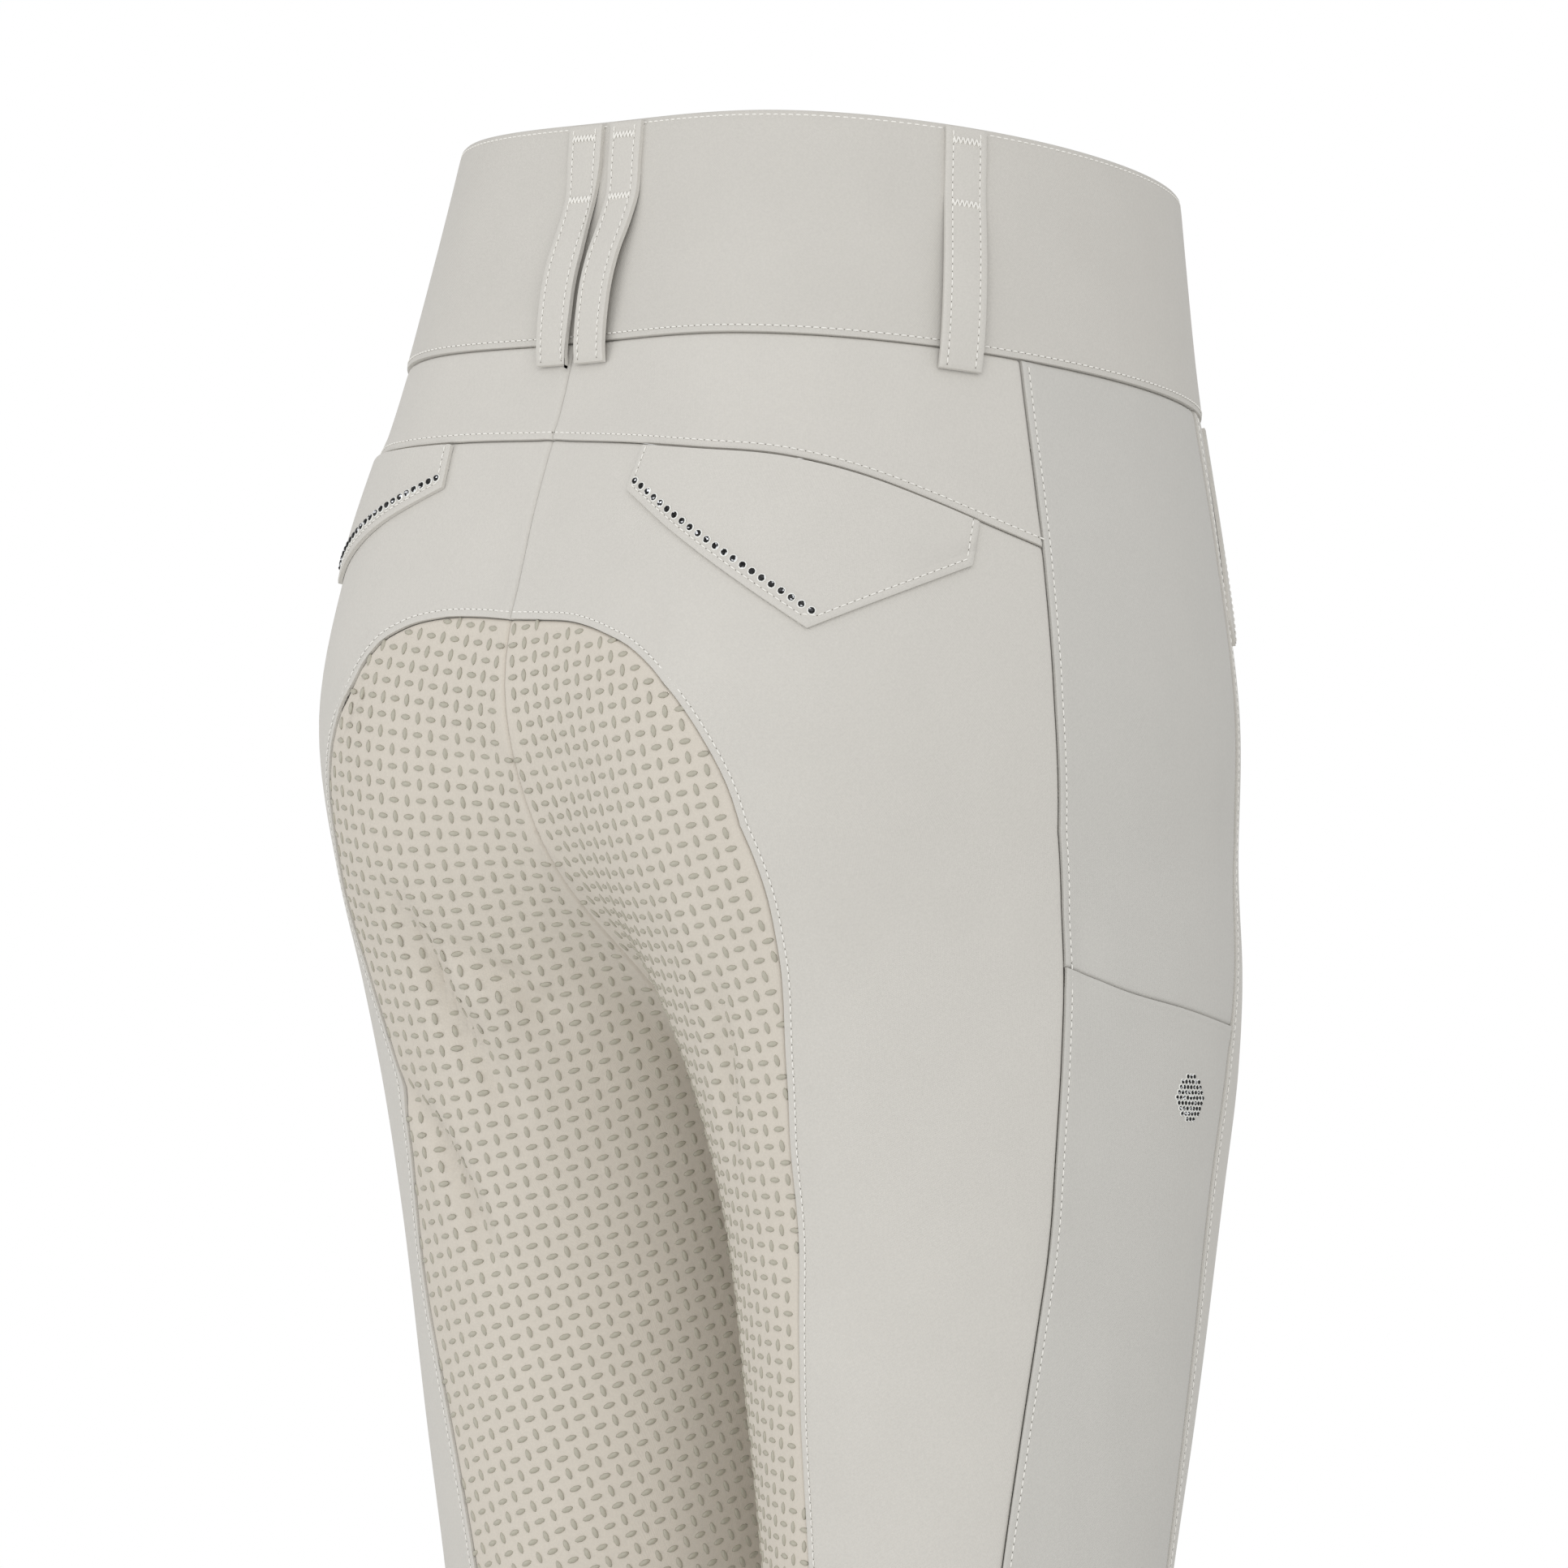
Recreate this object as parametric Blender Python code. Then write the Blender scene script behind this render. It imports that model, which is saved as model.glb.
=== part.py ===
"""Full-seat riding breeches, filled out as worn, with no wearer inside.

The cloth is a thin wall over one smooth figure surface. The figure is two tubes, one for each
leg, blended into one another from the waist down to the crotch. A place on it is (turn, height):
turn runs 0 at the centre front, 0.5 at the outer side, 1 at the centre back and, below the
crotch, on round the inner leg to 2. Height is millimetres below the waist edge, so it is negative.
The wearer's right is -X and the front faces -Y. Sizes are in millimetres until a mesh is made.
"""

from collections import namedtuple

import bpy
import numpy as np

METRES = 0.001
CLOTH = 1.4  # thickness of the stretch cloth
BAND_CLOTH = 2.4  # the waistband is two layers
BAND_PROUD = 0.7  # its lower edge stands over the panels
FLAP_CLOTH = 1.6
LOOP_CLOTH = 1.6
SEAM_GAP = 0.3
CLEAR = 0.45  # an overlay's underside above the panel's true surface
NORMAL_STEP = 0.5  # step of the slopes that give a surface normal
REACH = 260  # longer than any ray from inside the figure to its surface
BISECTIONS = 30

HIP_TILT_END = -184  # below this height the rings are level
FORK = -225  # the crotch seam leaves the centre back here
LEG = -372  # from here down each ring is level round its own leg
ABOVE_KNEE = -460
RAY_SWING = 1.3  # how late the rays of the inner leg swing level
HEM = -975
BAND_SEAM = -75

# Half sections of the right leg's tube: its centre, how far it reaches outwards, inwards, to the
# front and to the back, and how softly it joins the other leg's tube.
Section = namedtuple("Section", "height centre_x centre_y outer inner front back blend")
SECTIONS = (
    Section(30, 44, 4, 74, 74, 100, 88, 60),
    Section(0, 46, 4, 77, 77, 100, 95, 60),
    Section(-75, 52, 6, 84, 84, 102, 113, 64),
    Section(-130, 56, 8, 92, 92, 107, 129, 70),
    Section(-184, 58, 8, 96, 96, 113, 140, 70),
    Section(-235, 61, 4, 90, 90, 109, 134, 50),
    Section(-270, 68, 0, 84, 81, 102, 121, 30),
    Section(-300, 72, -1, 80, 75, 96, 110, 14),
    Section(-340, 75, 0, 76, 70, 88, 97, 10),
    Section(-420, 75, 3, 71, 64, 77, 79, 8),
    Section(-500, 73, 6, 66, 59, 67, 64, 8),
    Section(-600, 71, 8, 59, 53, 59, 58, 8),
    Section(-720, 70, 16, 57, 51, 54, 60, 8),
    Section(-850, 70, 16, 45, 41, 44, 48, 8),
    Section(-975, 70, 12, 38, 36, 39, 41, 8),
)
# The waist is cut higher at the back: rise of a ring for each millimetre towards the back.
RING_TILT = ((30, 0.119), (0, 0.119), (BAND_SEAM, 0.107), (-130, 0.075), (HIP_TILT_END, 0.0))

# Seams that run down the garment: (height, turn).
SIDE_FRONT_SEAM = ((BAND_SEAM, 0.352), (FORK, 0.345), (LEG, 0.33), (-500, 0.33), (HEM, 0.34))
SIDE_BACK_SEAM = (
    (BAND_SEAM, 0.579),
    (-180, 0.572),
    (-236, 0.573),
    (-269, 0.592),
    (-336, 0.642),
    (-398, 0.671),
    (-461, 0.695),
    (-600, 0.71),
    (-800, 0.68),
    (HEM, 0.64),
)
SEAT_BORDER = (
    (-180, 0.84),
    (-183, 0.8336),
    (-190, 0.823),
    (-200, 0.811),
    (-212, 0.80),
    (-222, 0.7946),
    (FORK, 0.7935),
    (-228, 0.7942),
    (-245, 0.803),
    (-267, 0.829),
    (-306, 0.896),
    (-330, 0.936),
    (-361, 0.968),
    (-404, 0.99),
    (-461, 1.005),
    (-600, 1.01),
    (HEM, 1.0),
)
CENTRE_BACK = ((FORK, 1.0), (LEG, 1.12), (HEM, 1.15))
INNER_FRONT_BORDER = ((FORK, 1.70), (LEG, 1.76), (HEM, 1.76))
LEFT_LEG_TURN = 0.065  # the left leg sits turned this much towards its outer side
LEG_TURN_RANGE = (-290, -390)

# Seams that run across it: (turn, height on the right, height on the left).
YOKE_SEAM = (
    (0.0, -125, -118),
    (0.579, -135, -122),
    (0.629, -129, -117),
    (0.658, -125, -113),
    (0.713, -118, -108),
    (0.762, -114, -105),
    (0.829, -112, -105),
    (0.904, -109, -105),
    (1.0, -106, -106),
)
SEAT_ARCH = (
    (0.84, -180, -180),
    (0.845, -177.65, -177.65),
    (0.855, -173.8, -171),
    (0.867, -170.2, -165.6),
    (0.89, -166, -161),
    (0.925, -162, -158.6),
    (0.965, -160.6, -158.8),
    (1.0, -160, -160),
)
POCKET_MOUTH = (
    (0.30, -287, -287),
    (0.37, -285, -285),
    (0.45, -281, -281),
    (0.53, -276, -276),
    (0.60, -268, -268),
    (1.0, -268, -268),
)
FLAT_ROW = {
    "waist": 0,
    "band": BAND_SEAM,
    "fork": FORK,
    "leg": LEG,
    "above_knee": ABOVE_KNEE,
    "hem": HEM,
}

# The panel grid: key rows with the height each has in the middle, and the cells below it.
ROWS = (
    ("waist", 0, 4),
    ("band", BAND_SEAM, 2),
    ("yoke", -115, 3),
    ("arch", -180, 3),
    ("fork", FORK, 5),
    ("mouth", -275, 7),
    ("leg", LEG, 3),
    ("above_knee", ABOVE_KNEE, 19),
    ("hem", HEM, 0),
)
# Key columns and the cells that follow each one round the leg.
COLUMNS = (
    ("centre_front", 6),
    ("side_front", 5),
    ("side_back", 5),
    ("seat_border", 4),
    ("centre_back", 7),
    ("inner_front", 3),
    ("front_again", 0),
)

# Cut panels, one each side: the blocks of the grid that each one covers, as (key row above, key
# row below, key column before, key column after), its colour and its roughness.
PANELS = {
    "yoke": ([("band", "yoke", "side_back", "centre_back")], "#d1cec8", 0.82),
    "back": (
        [("yoke", "arch", "side_back", "centre_back"), ("arch", "hem", "side_back", "seat_border")],
        "#d1cec8",
        0.82,
    ),
    "grip": (
        [("arch", "fork", "seat_border", "centre_back"), ("fork", "hem", "seat_border", "inner_front")],
        "#d6cfc5",
        0.7,
    ),
    "side_upper": ([("band", "mouth", "side_front", "side_back")], "#c6c4bf", 0.82),
    "side_lower": ([("mouth", "hem", "side_front", "side_back")], "#c6c4bf", 0.82),
    "front": (
        [("band", "hem", "centre_front", "side_front"), ("fork", "hem", "inner_front", "front_again")],
        "#cfccc7",
        0.82,
    ),
}

# Each of these is one cut piece, built in two stretches that meet at this key row: the upper one
# bends about the hollow of the hips, and the lower one about that of the leg.
STRETCHED_AT = {
    ("back", "left"): "leg",
    ("front", "left"): "above_knee",
    ("front", "right"): "above_knee",
    ("grip", "right"): "leg",
}

# Back pocket flap: the turns of its two top corners, which hang from the yoke seam, and the turn
# and height of each corner below them.
Flap = namedtuple("Flap", "top inner point outer")
FLAPS = {
    "right": Flap((0.879, 0.626), (0.888, -125), (0.746, -165), (0.633, -144)),
    "left": Flap((0.886, 0.626), (0.892, -120), (0.746, -144), (0.633, -131)),
}
FLAP_BELOW_SEAM = 1.2
FLAP_POINT_SHARE = 0.56  # share of its columns from the inner corner to the point

# Belt loops: turn of the middle at the top and at the bottom, and the side it is on.
LOOPS = (
    ("belt_loop_back_right", "right", 0.972, 0.972),
    ("belt_loop_back_left", "left", 0.966, 0.975),
    ("belt_loop_side_right", "right", 0.617, 0.634),
    ("belt_loop_side_left", "left", 0.617, 0.634),
    ("belt_loop_front_right", "right", 0.185, 0.18),
    ("belt_loop_front_left", "left", 0.185, 0.18),
)
LOOP_HALF_TURN = 0.0205
# (height, clearance under the loop): sewn flat down to the second bar tack, then standing off.
LOOP_PROFILE = (
    (-1.5, 1.15),
    (-13, 1.15),
    (-24, 1.2),
    (-34, 2.3),
    (-46, 3.4),
    (-60, 3.8),
    (-72, 3.3),
    (-80, 2.2),
    (-84, 1.1),
)

# Fly placket on the right: (height, turn of the middle edge, turn of the stitched edge).
FLY = (
    (-77, 0.012, 0.085),
    (-120, 0.012, 0.082),
    (-160, 0.012, 0.072),
    (-182, 0.012, 0.045),
    (-190, 0.012, 0.022),
)
# Slanted mouth of the hip pocket: its lower edge as (turn, height), and the welt above that edge.
FRONT_POCKET = ((0.275, -79), (0.298, -118), (0.334, -157))
FRONT_POCKET_WELT = (0.013, 9.0)
FRONT_POCKET_TOP = -77
BUTTON_HEIGHTS = (-22, -53)
BUTTON_TURN = 0.035
BUTTON_RADIUS = 8.5
BUTTON_THICKNESS = 2.6
BUTTON_RIM = 0.6

# Soft hollows pressed into the cloth, each along a line of places as (turn, height).
Fold = namedtuple("Fold", "side half_width depth line")
FOLDS = (
    Fold("left", 11, 2.4, ((0.838, -232), (0.925, -266), (0.987, -290), (1.079, -310))),
    Fold("left", 11, 2.2, ((0.846, -265), (0.904, -293), (0.975, -323), (1.062, -364))),
    Fold("left", 10, 1.2, ((0.892, -351), (0.938, -377), (0.967, -412))),
    Fold("left", 12, 1.2, ((0.921, -199), (0.996, -214))),
    Fold("right", 11, 1.8, ((0.854, -253), (0.925, -288), (1.017, -326))),
    Fold("right", 12, 1.2, ((0.908, -210), (0.992, -203))),
    Fold("both", 10, 2.0, ((1.70, -262), (1.52, -330))),
    Fold("both", 11, 1.8, ((1.86, -250), (1.62, -322))),
    Fold("both", 12, 1.6, ((0.02, -228), (0.20, -262))),
    Fold("both", 11, 1.6, ((0.86, -585), (1.14, -602))),
    Fold("both", 10, 1.3, ((0.84, -622), (1.16, -630))),
    Fold("both", 9, 1.2, ((0.30, -905), (0.62, -915))),
)
FOLD_SCALE = 240  # millimetres round a leg for one unit of turn
FOLD_ENDS = 0.1  # share of a fold's length over which its depth at the end is still missing


def smooth(at, knots, values):
    """Cubic through the values at rising knots, level with them beyond both ends."""
    knots = np.array(knots, float)
    values = np.array(values, float).reshape(len(knots), -1)
    slopes = np.gradient(values, knots, axis=0)
    at = np.asarray(at, float)
    row = np.clip(np.searchsorted(knots, at) - 1, 0, len(knots) - 2)
    span = knots[row + 1] - knots[row]
    f = np.clip((at - knots[row]) / span, 0, 1)[..., None]
    span = span[..., None]
    start = values[row] * (1 + 2 * f) * (1 - f) ** 2 + span * slopes[row] * f * (1 - f) ** 2
    end = values[row + 1] * f * f * (3 - 2 * f) - span * slopes[row + 1] * f * f * (1 - f)
    return start + end


def height_curve(pairs, at):
    """Turn of a lengthwise seam at a height."""
    return smooth(-np.asarray(at, float), [-pair[0] for pair in pairs], [pair[1] for pair in pairs])[..., 0]


def turn_curve(rows, at, side):
    """Height of a crosswise seam at a turn, on one side of the garment."""
    column = 1 if side == "right" else 2
    return smooth(at, [row[0] for row in rows], [row[column] for row in rows])[..., 0]


def section_at(height):
    """The section table at any height."""
    depths = [-row.height for row in SECTIONS]
    return smooth(-np.asarray(height, float), depths, [row[1:] for row in SECTIONS])


def figure(point):
    """Less than 0 inside the figure and more than 0 outside, in millimetres near the surface."""
    x, y, z = np.moveaxis(point, -1, 0)
    centre_x, centre_y, outer, inner, front, back, blend = np.moveaxis(section_at(z), -1, 0)

    def tube(across):
        side = -across - centre_x
        depth = y - centre_y
        wide = np.where(side > 0, outer, inner)
        deep = np.where(depth > 0, back, front)
        return (np.sqrt((side / wide) ** 2 + (depth / deep) ** 2) - 1) * 0.5 * (wide + deep)

    right, left = tube(x), tube(-x)
    near = np.maximum(blend - np.abs(right - left), 0) / blend
    return np.minimum(right, left) - near * near * blend / 4


def rays(turn, height):
    """Where the ray for a place starts, inside the right half, and the way it goes.

    Above the fork it starts on the middle plane and runs level, tilted as the ring is. Below, its
    start moves to the middle of the leg, and the rays of the inner leg swing from straight down,
    where they meet the crotch seam, to level.
    """
    into_leg = np.clip((FORK - height) / (FORK - LEG), 0, 1)
    centre = section_at(height)
    tilt = np.interp(-height, [-row[0] for row in RING_TILT], [row[1] for row in RING_TILT])
    swing = into_leg**RAY_SWING * np.pi / 2
    sideways = np.sin(np.pi * turn)
    forwards = -np.cos(np.pi * turn)
    inner_leg = turn > 1
    start = np.stack([-centre[..., 0] * np.sin(into_leg * np.pi / 2), centre[..., 1], height], -1)
    way_x = np.where(inner_leg, -np.sin(swing) * sideways, -sideways)
    way_z = np.where(inner_leg, np.cos(swing) * sideways, 0) + tilt * forwards
    return start, np.stack([way_x, forwards, way_z], -1)


def fold_depth(turn, height, side):
    """How far the cloth is pressed in at a place by the soft hollows."""
    flat = np.stack([turn * FOLD_SCALE, height], -1)
    depth = np.zeros(np.shape(turn))
    for fold in FOLDS:
        if fold.side not in ("both", side):
            continue
        line = np.array(fold.line) * (FOLD_SCALE, 1)
        nearest = np.full(np.shape(turn), np.inf)
        share = np.zeros(np.shape(turn))
        for number, (a, b) in enumerate(zip(line, line[1:])):
            run = b - a
            along = np.clip((flat - a) @ run / (run @ run), 0, 1)
            off = np.linalg.norm(flat - a - along[..., None] * run, axis=-1)
            share = np.where(off < nearest, (number + along) / (len(line) - 1), share)
            nearest = np.minimum(off, nearest)
        fade = np.sin(np.pi * (FOLD_ENDS + (1 - 2 * FOLD_ENDS) * share))
        depth = depth + fold.depth * np.exp(-((nearest / fold.half_width) ** 2)) * fade
    return depth


def slope(point):
    """Outward unit normal of the figure, level with the middle plane where the halves meet."""
    steps = NORMAL_STEP * np.eye(3)
    rise = np.stack([figure(point + step) - figure(point - step) for step in steps], -1)
    return rise / np.linalg.norm(rise, axis=-1, keepdims=True)


def place(turn, height, side):
    """Points and outward normals of the cloth's outer face on the right half, by bisection."""
    turn, height = np.broadcast_arrays(np.asarray(turn, float), np.asarray(height, float))
    start, way = rays(turn, height)
    near = np.zeros(turn.shape)
    inwards = way[..., 0] > 0
    to_middle = -start[..., 0] / np.where(inwards, way[..., 0], 1)
    far = np.where(inwards, np.minimum(REACH, to_middle), REACH)
    for _ in range(BISECTIONS):
        middle = (near + far) / 2
        inside = figure(start + way * middle[..., None]) < 0
        near = np.where(inside, middle, near)
        far = np.where(inside, far, middle)
    points = start + way * far[..., None]
    normals = slope(points)
    return points - normals * fold_depth(turn, height, side)[..., None], normals


def column_turn(name, height, side):
    """Turn of a key column of the panel grid at a height."""
    table = {
        "side_front": SIDE_FRONT_SEAM,
        "side_back": SIDE_BACK_SEAM,
        "seat_border": SEAT_BORDER,
        "centre_back": CENTRE_BACK,
        "inner_front": INNER_FRONT_BORDER,
    }.get(name)
    if table is None:
        return np.full(np.shape(height), 0.0 if name == "centre_front" else 2.0)
    turn = height_curve(table, height)
    if side == "right":
        return turn
    top, bottom = LEG_TURN_RANGE
    f = np.clip((top - height) / (top - bottom), 0, 1)
    return turn - LEFT_LEG_TURN * f * f * (3 - 2 * f)


def row_height(name, turn, side):
    """Height of a key row of the panel grid at a turn."""
    table = {"yoke": YOKE_SEAM, "arch": SEAT_ARCH, "mouth": POCKET_MOUTH}.get(name)
    if table is None:
        return np.full(np.shape(turn), float(FLAT_ROW[name]))
    return turn_curve(table, turn, side)


def grid_index():
    """Index of each key row and key column in the panel grid."""
    row_at, column_at = {}, {}
    total = 0
    for name, _, cells in ROWS:
        row_at[name] = total
        total += cells
    total = 0
    for name, cells in COLUMNS:
        column_at[name] = total
        total += cells
    return row_at, column_at


ROW_AT, COLUMN_AT = grid_index()
LAST_ROW = ROW_AT["hem"]
LAST_COLUMN = COLUMN_AT["front_again"]


def grid_turn(column, height, side):
    """Turn of any column of the grid at a height, evenly spaced between the key columns."""
    for (name, cells), (after, _) in zip(COLUMNS, COLUMNS[1:]):
        first = COLUMN_AT[name]
        if first <= column <= first + cells:
            f = (column - first) / cells
            return (1 - f) * column_turn(name, height, side) + f * column_turn(after, height, side)


def grid_height(row, turn, side):
    """Height of any row of the grid at a turn, and its height in the middle."""
    for (name, middle, cells), (after, next_middle, _) in zip(ROWS, ROWS[1:]):
        first = ROW_AT[name]
        if first <= row <= first + cells:
            f = (row - first) / cells
            height = (1 - f) * row_height(name, turn, side) + f * row_height(after, turn, side)
            return height, (1 - f) * middle + f * next_middle


def panel_grid(side):
    """Points and normals of every grid place on one side, already mirrored on the left."""
    turns = np.zeros((LAST_ROW + 1, LAST_COLUMN + 1))
    heights = np.zeros_like(turns)
    for row in range(LAST_ROW + 1):
        for column in range(LAST_COLUMN + 1):
            middle = grid_height(row, np.array(0.0), side)[1]
            about = grid_turn(column, np.array(middle), side)
            heights[row, column] = grid_height(row, about, side)[0]
            turns[row, column] = grid_turn(column, heights[row, column], side)
    points, normals = place(turns, heights, side)
    if side == "left":
        points, normals = points * (-1, 1, 1), normals * (-1, 1, 1)
    return points, normals


def block(top, bottom, first, last):
    """Cells of the grid between two key rows and two key columns."""
    rows = range(ROW_AT[top], ROW_AT[bottom])
    columns = range(COLUMN_AT[first], COLUMN_AT[last])
    return [(row, column) for row in rows for column in columns]


def quads_of(cells, side):
    """Corner places of each cell, turning left as seen from outside the cloth."""
    quads = []
    for row, column in cells:
        corners = [(row, column), (row, column + 1), (row + 1, column + 1), (row + 1, column)]
        quads.append(corners if side == "right" else corners[::-1])
    return [[(r, 0 if c == LAST_COLUMN else c) for r, c in quad] for quad in quads]


def edge_inset(points, normals, quads, gap):
    """How far each place on the panel's edge moves in, so that seams keep their gap."""
    directed = {(quad[i], quad[(i + 1) % 4]) for quad in quads for i in range(4)}
    border = [(a, b) for a, b in directed if (b, a) not in directed]
    inwards = {}
    for a, b in border:
        along = points[b] - points[a]
        way = np.cross(normals[a] + normals[b], along)
        way /= np.linalg.norm(way)
        inwards.setdefault(a, []).append(way)
        inwards.setdefault(b, []).append(way)
    moves = np.zeros_like(points)
    for index, ways in inwards.items():
        total = np.sum(ways, axis=0)
        together = max(np.dot(ways[0], ways[-1]), -0.5) if len(ways) > 1 else 1.0
        moves[index] = gap * total / (1 + together) if len(ways) > 1 else gap * total
    return moves, border


def add_mesh(name, vertices, faces, finish):
    mesh = bpy.data.meshes.new(name)
    mesh.from_pydata((np.asarray(vertices) * METRES).tolist(), [], faces)
    mesh.shade_smooth()
    mesh.set_sharp_from_angle(angle=np.radians(40))
    mesh.materials.append(finish)
    shape = bpy.data.objects.new(name, mesh)
    bpy.context.scene.collection.objects.link(shape)
    return shape


def wall(name, points, normals, quads, finish, thickness=CLOTH, lift=0.0, gap=SEAM_GAP / 2):
    """One closed piece of cloth: its outer face, its inner face, and the rim between them.

    Points and normals are rows, and each quad names four of them. Lift is the height of the
    outer face over the figure, one number or one for each point.
    """
    moves, border = edge_inset(points, normals, quads, gap)
    outer = points + moves + normals * np.reshape(lift, (-1, 1))
    inner = outer - normals * thickness
    count = len(points)
    faces = [tuple(quad) for quad in quads]
    faces += [tuple(index + count for index in reversed(quad)) for quad in quads]
    for a, b in border:
        low = min(a, b) + count
        high = max(a, b)
        faces.append((b, a, low))
        faces.append((high, a + count, b + count))
    used = sorted({index for face in faces for index in face})
    renumber = {index: place_in_list for place_in_list, index in enumerate(used)}
    faces = [tuple(renumber[index] for index in face) for face in faces]
    return add_mesh(name, np.concatenate([outer, inner])[used], faces, finish)


def panel(name, side, grids, cells, finish, **sizes):
    """A cut piece of the grid: the cells given, as one wall."""
    points, normals = grids[side]
    width = points.shape[1]
    quads = [[row * width + column for row, column in quad] for quad in quads_of(cells, side)]
    wall(f"{name}_{side}", points.reshape(-1, 3), normals.reshape(-1, 3), quads, finish, **sizes)


def waistband(grids, finish):
    """One strip round the waist, open at the centre front, with both halves on one row of places."""
    rows = ROW_AT["band"] + 1
    back = COLUMN_AT["centre_back"]
    points, normals = (
        np.concatenate([right[:rows, : back + 1], left[:rows, back - 1 :: -1]], 1)
        for right, left in zip(grids["right"], grids["left"])
    )
    width = points.shape[1]
    starts = [row * width + column for row in range(rows - 1) for column in range(width - 1)]
    quads = [[i, i + 1, i + width + 1, i + width] for i in starts]
    points, normals = points.reshape(-1, 3), normals.reshape(-1, 3)
    wall("waistband", points, normals, quads, finish, thickness=BAND_CLOTH, lift=BAND_PROUD)


def overlay(name, side, turns, heights, finish, thickness, clearance):
    """A piece laid on the panels: a patch of places, rows by columns, moved out from them."""
    points, normals = place(turns, heights, side)
    if side == "left":
        points, normals = points * (-1, 1, 1), normals * (-1, 1, 1)
    rows, width = np.shape(turns)
    starts = [row * width + column for row in range(rows - 1) for column in range(width - 1)]
    quads = [[i, i + 1, i + width + 1, i + width] for i in starts]
    if turns[0][0] > turns[0][-1]:
        quads = [quad[::-1] for quad in quads]
    if side == "left":
        quads = [quad[::-1] for quad in quads]
    lift = np.broadcast_to(clearance, np.shape(turns)).reshape(-1) + thickness
    wall(name, points.reshape(-1, 3), normals.reshape(-1, 3), quads, finish, thickness, lift, gap=0)


def pocket_flap(side, finish, across=14, down=5):
    """Five-cornered flap that hangs from the yoke seam, its point below the middle."""
    flap = FLAPS[side]
    f = np.linspace(0, 1, across + 1)
    top_turn = np.interp(f, (0, 1), flap.top)
    top_height = turn_curve(YOKE_SEAM, top_turn, side) - FLAP_BELOW_SEAM
    edge = np.array([flap.inner, flap.point, flap.outer])
    edge_turn = np.interp(f, (0, FLAP_POINT_SHARE, 1), edge[:, 0])
    edge_height = np.interp(f, (0, FLAP_POINT_SHARE, 1), edge[:, 1])
    g = np.linspace(0, 1, down + 1)[:, None]
    turns = (1 - g) * top_turn + g * edge_turn
    heights = (1 - g) * top_height + g * edge_height
    overlay(f"pocket_flap_{side}", side, turns, heights, finish, FLAP_CLOTH, CLEAR)


def belt_loop(name, side, top_turn, bottom_turn, finish, across=3):
    """A narrow strip over the waistband, flat at the top and standing off below."""
    profile = np.array(LOOP_PROFILE, float)
    middle = np.interp(-profile[:, 0], (0, -profile[-1, 0]), (top_turn, bottom_turn))
    turns = middle[:, None] + np.linspace(-1, 1, across + 1) * LOOP_HALF_TURN
    heights = profile[:, :1] + 0 * turns
    overlay(name, side, turns, heights, finish, LOOP_CLOTH, profile[:, 1:])


def fly(finish, across=4, down=14):
    """Placket over the centre front, with a rounded lower end."""
    rows = np.array(FLY, float)
    heights = np.linspace(rows[0, 0], rows[-1, 0], down + 1)
    inner = np.interp(-heights, -rows[:, 0], rows[:, 1])
    outer = np.interp(-heights, -rows[:, 0], rows[:, 2])
    f = np.linspace(0, 1, across + 1)
    turns = inner[:, None] * (1 - f) + outer[:, None] * f
    overlay("fly", "right", turns, heights[:, None] + 0 * turns, finish, CLOTH, CLEAR)


def front_pocket(side, finish, along=12, across=2):
    """Narrow welt along the slanted mouth of the hip pocket."""
    lower = np.array(FRONT_POCKET, float)
    f = np.linspace(0, 1, along + 1)
    turn = np.interp(f, (0, 0.5, 1), lower[:, 0])
    height = np.interp(f, (0, 0.5, 1), lower[:, 1])
    above = 1 - np.linspace(0, 1, across + 1)[:, None]
    turns = turn + FRONT_POCKET_WELT[0] * above
    heights = np.minimum(height + FRONT_POCKET_WELT[1] * above, FRONT_POCKET_TOP)
    overlay(f"front_pocket_{side}", side, turns, heights, finish, CLOTH, CLEAR)


def waist_button(name, height, finish):
    """Flat round button with a softened rim, its back to the waistband."""
    point, normal = place(BUTTON_TURN, height, "right")
    size = {"radius": BUTTON_RADIUS * METRES, "depth": BUTTON_THICKNESS * METRES}
    bpy.ops.mesh.primitive_cylinder_add(vertices=24, enter_editmode=False, **size)
    button = bpy.context.object
    button.name = button.data.name = name
    out = BAND_PROUD + CLEAR + BUTTON_THICKNESS / 2
    button.location = (point + normal * out) * METRES
    button.rotation_euler = (0, np.arccos(normal[2]), np.arctan2(normal[1], normal[0]))
    rim = button.modifiers.new("rim", "BEVEL")
    rim.width = BUTTON_RIM * METRES
    rim.segments = 1
    button.data.materials.append(finish)


def finish_of(name, colour, roughness):
    """A plain finish: sRGB colour as hex, roughness, no metal."""
    finish = bpy.data.materials.new(name)
    finish.use_nodes = True
    shader = finish.node_tree.nodes["Principled BSDF"]
    channels = [int(colour[i : i + 2], 16) / 255 for i in (1, 3, 5)]
    linear = [c / 12.92 if c <= 0.04045 else ((c + 0.055) / 1.055) ** 2.4 for c in channels]
    shader.inputs["Base Color"].default_value = (*linear, 1)
    shader.inputs["Roughness"].default_value = roughness
    shader.inputs["Metallic"].default_value = 0
    return finish


def clear_scene():
    for shape in list(bpy.data.objects):
        bpy.data.objects.remove(shape)


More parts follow.
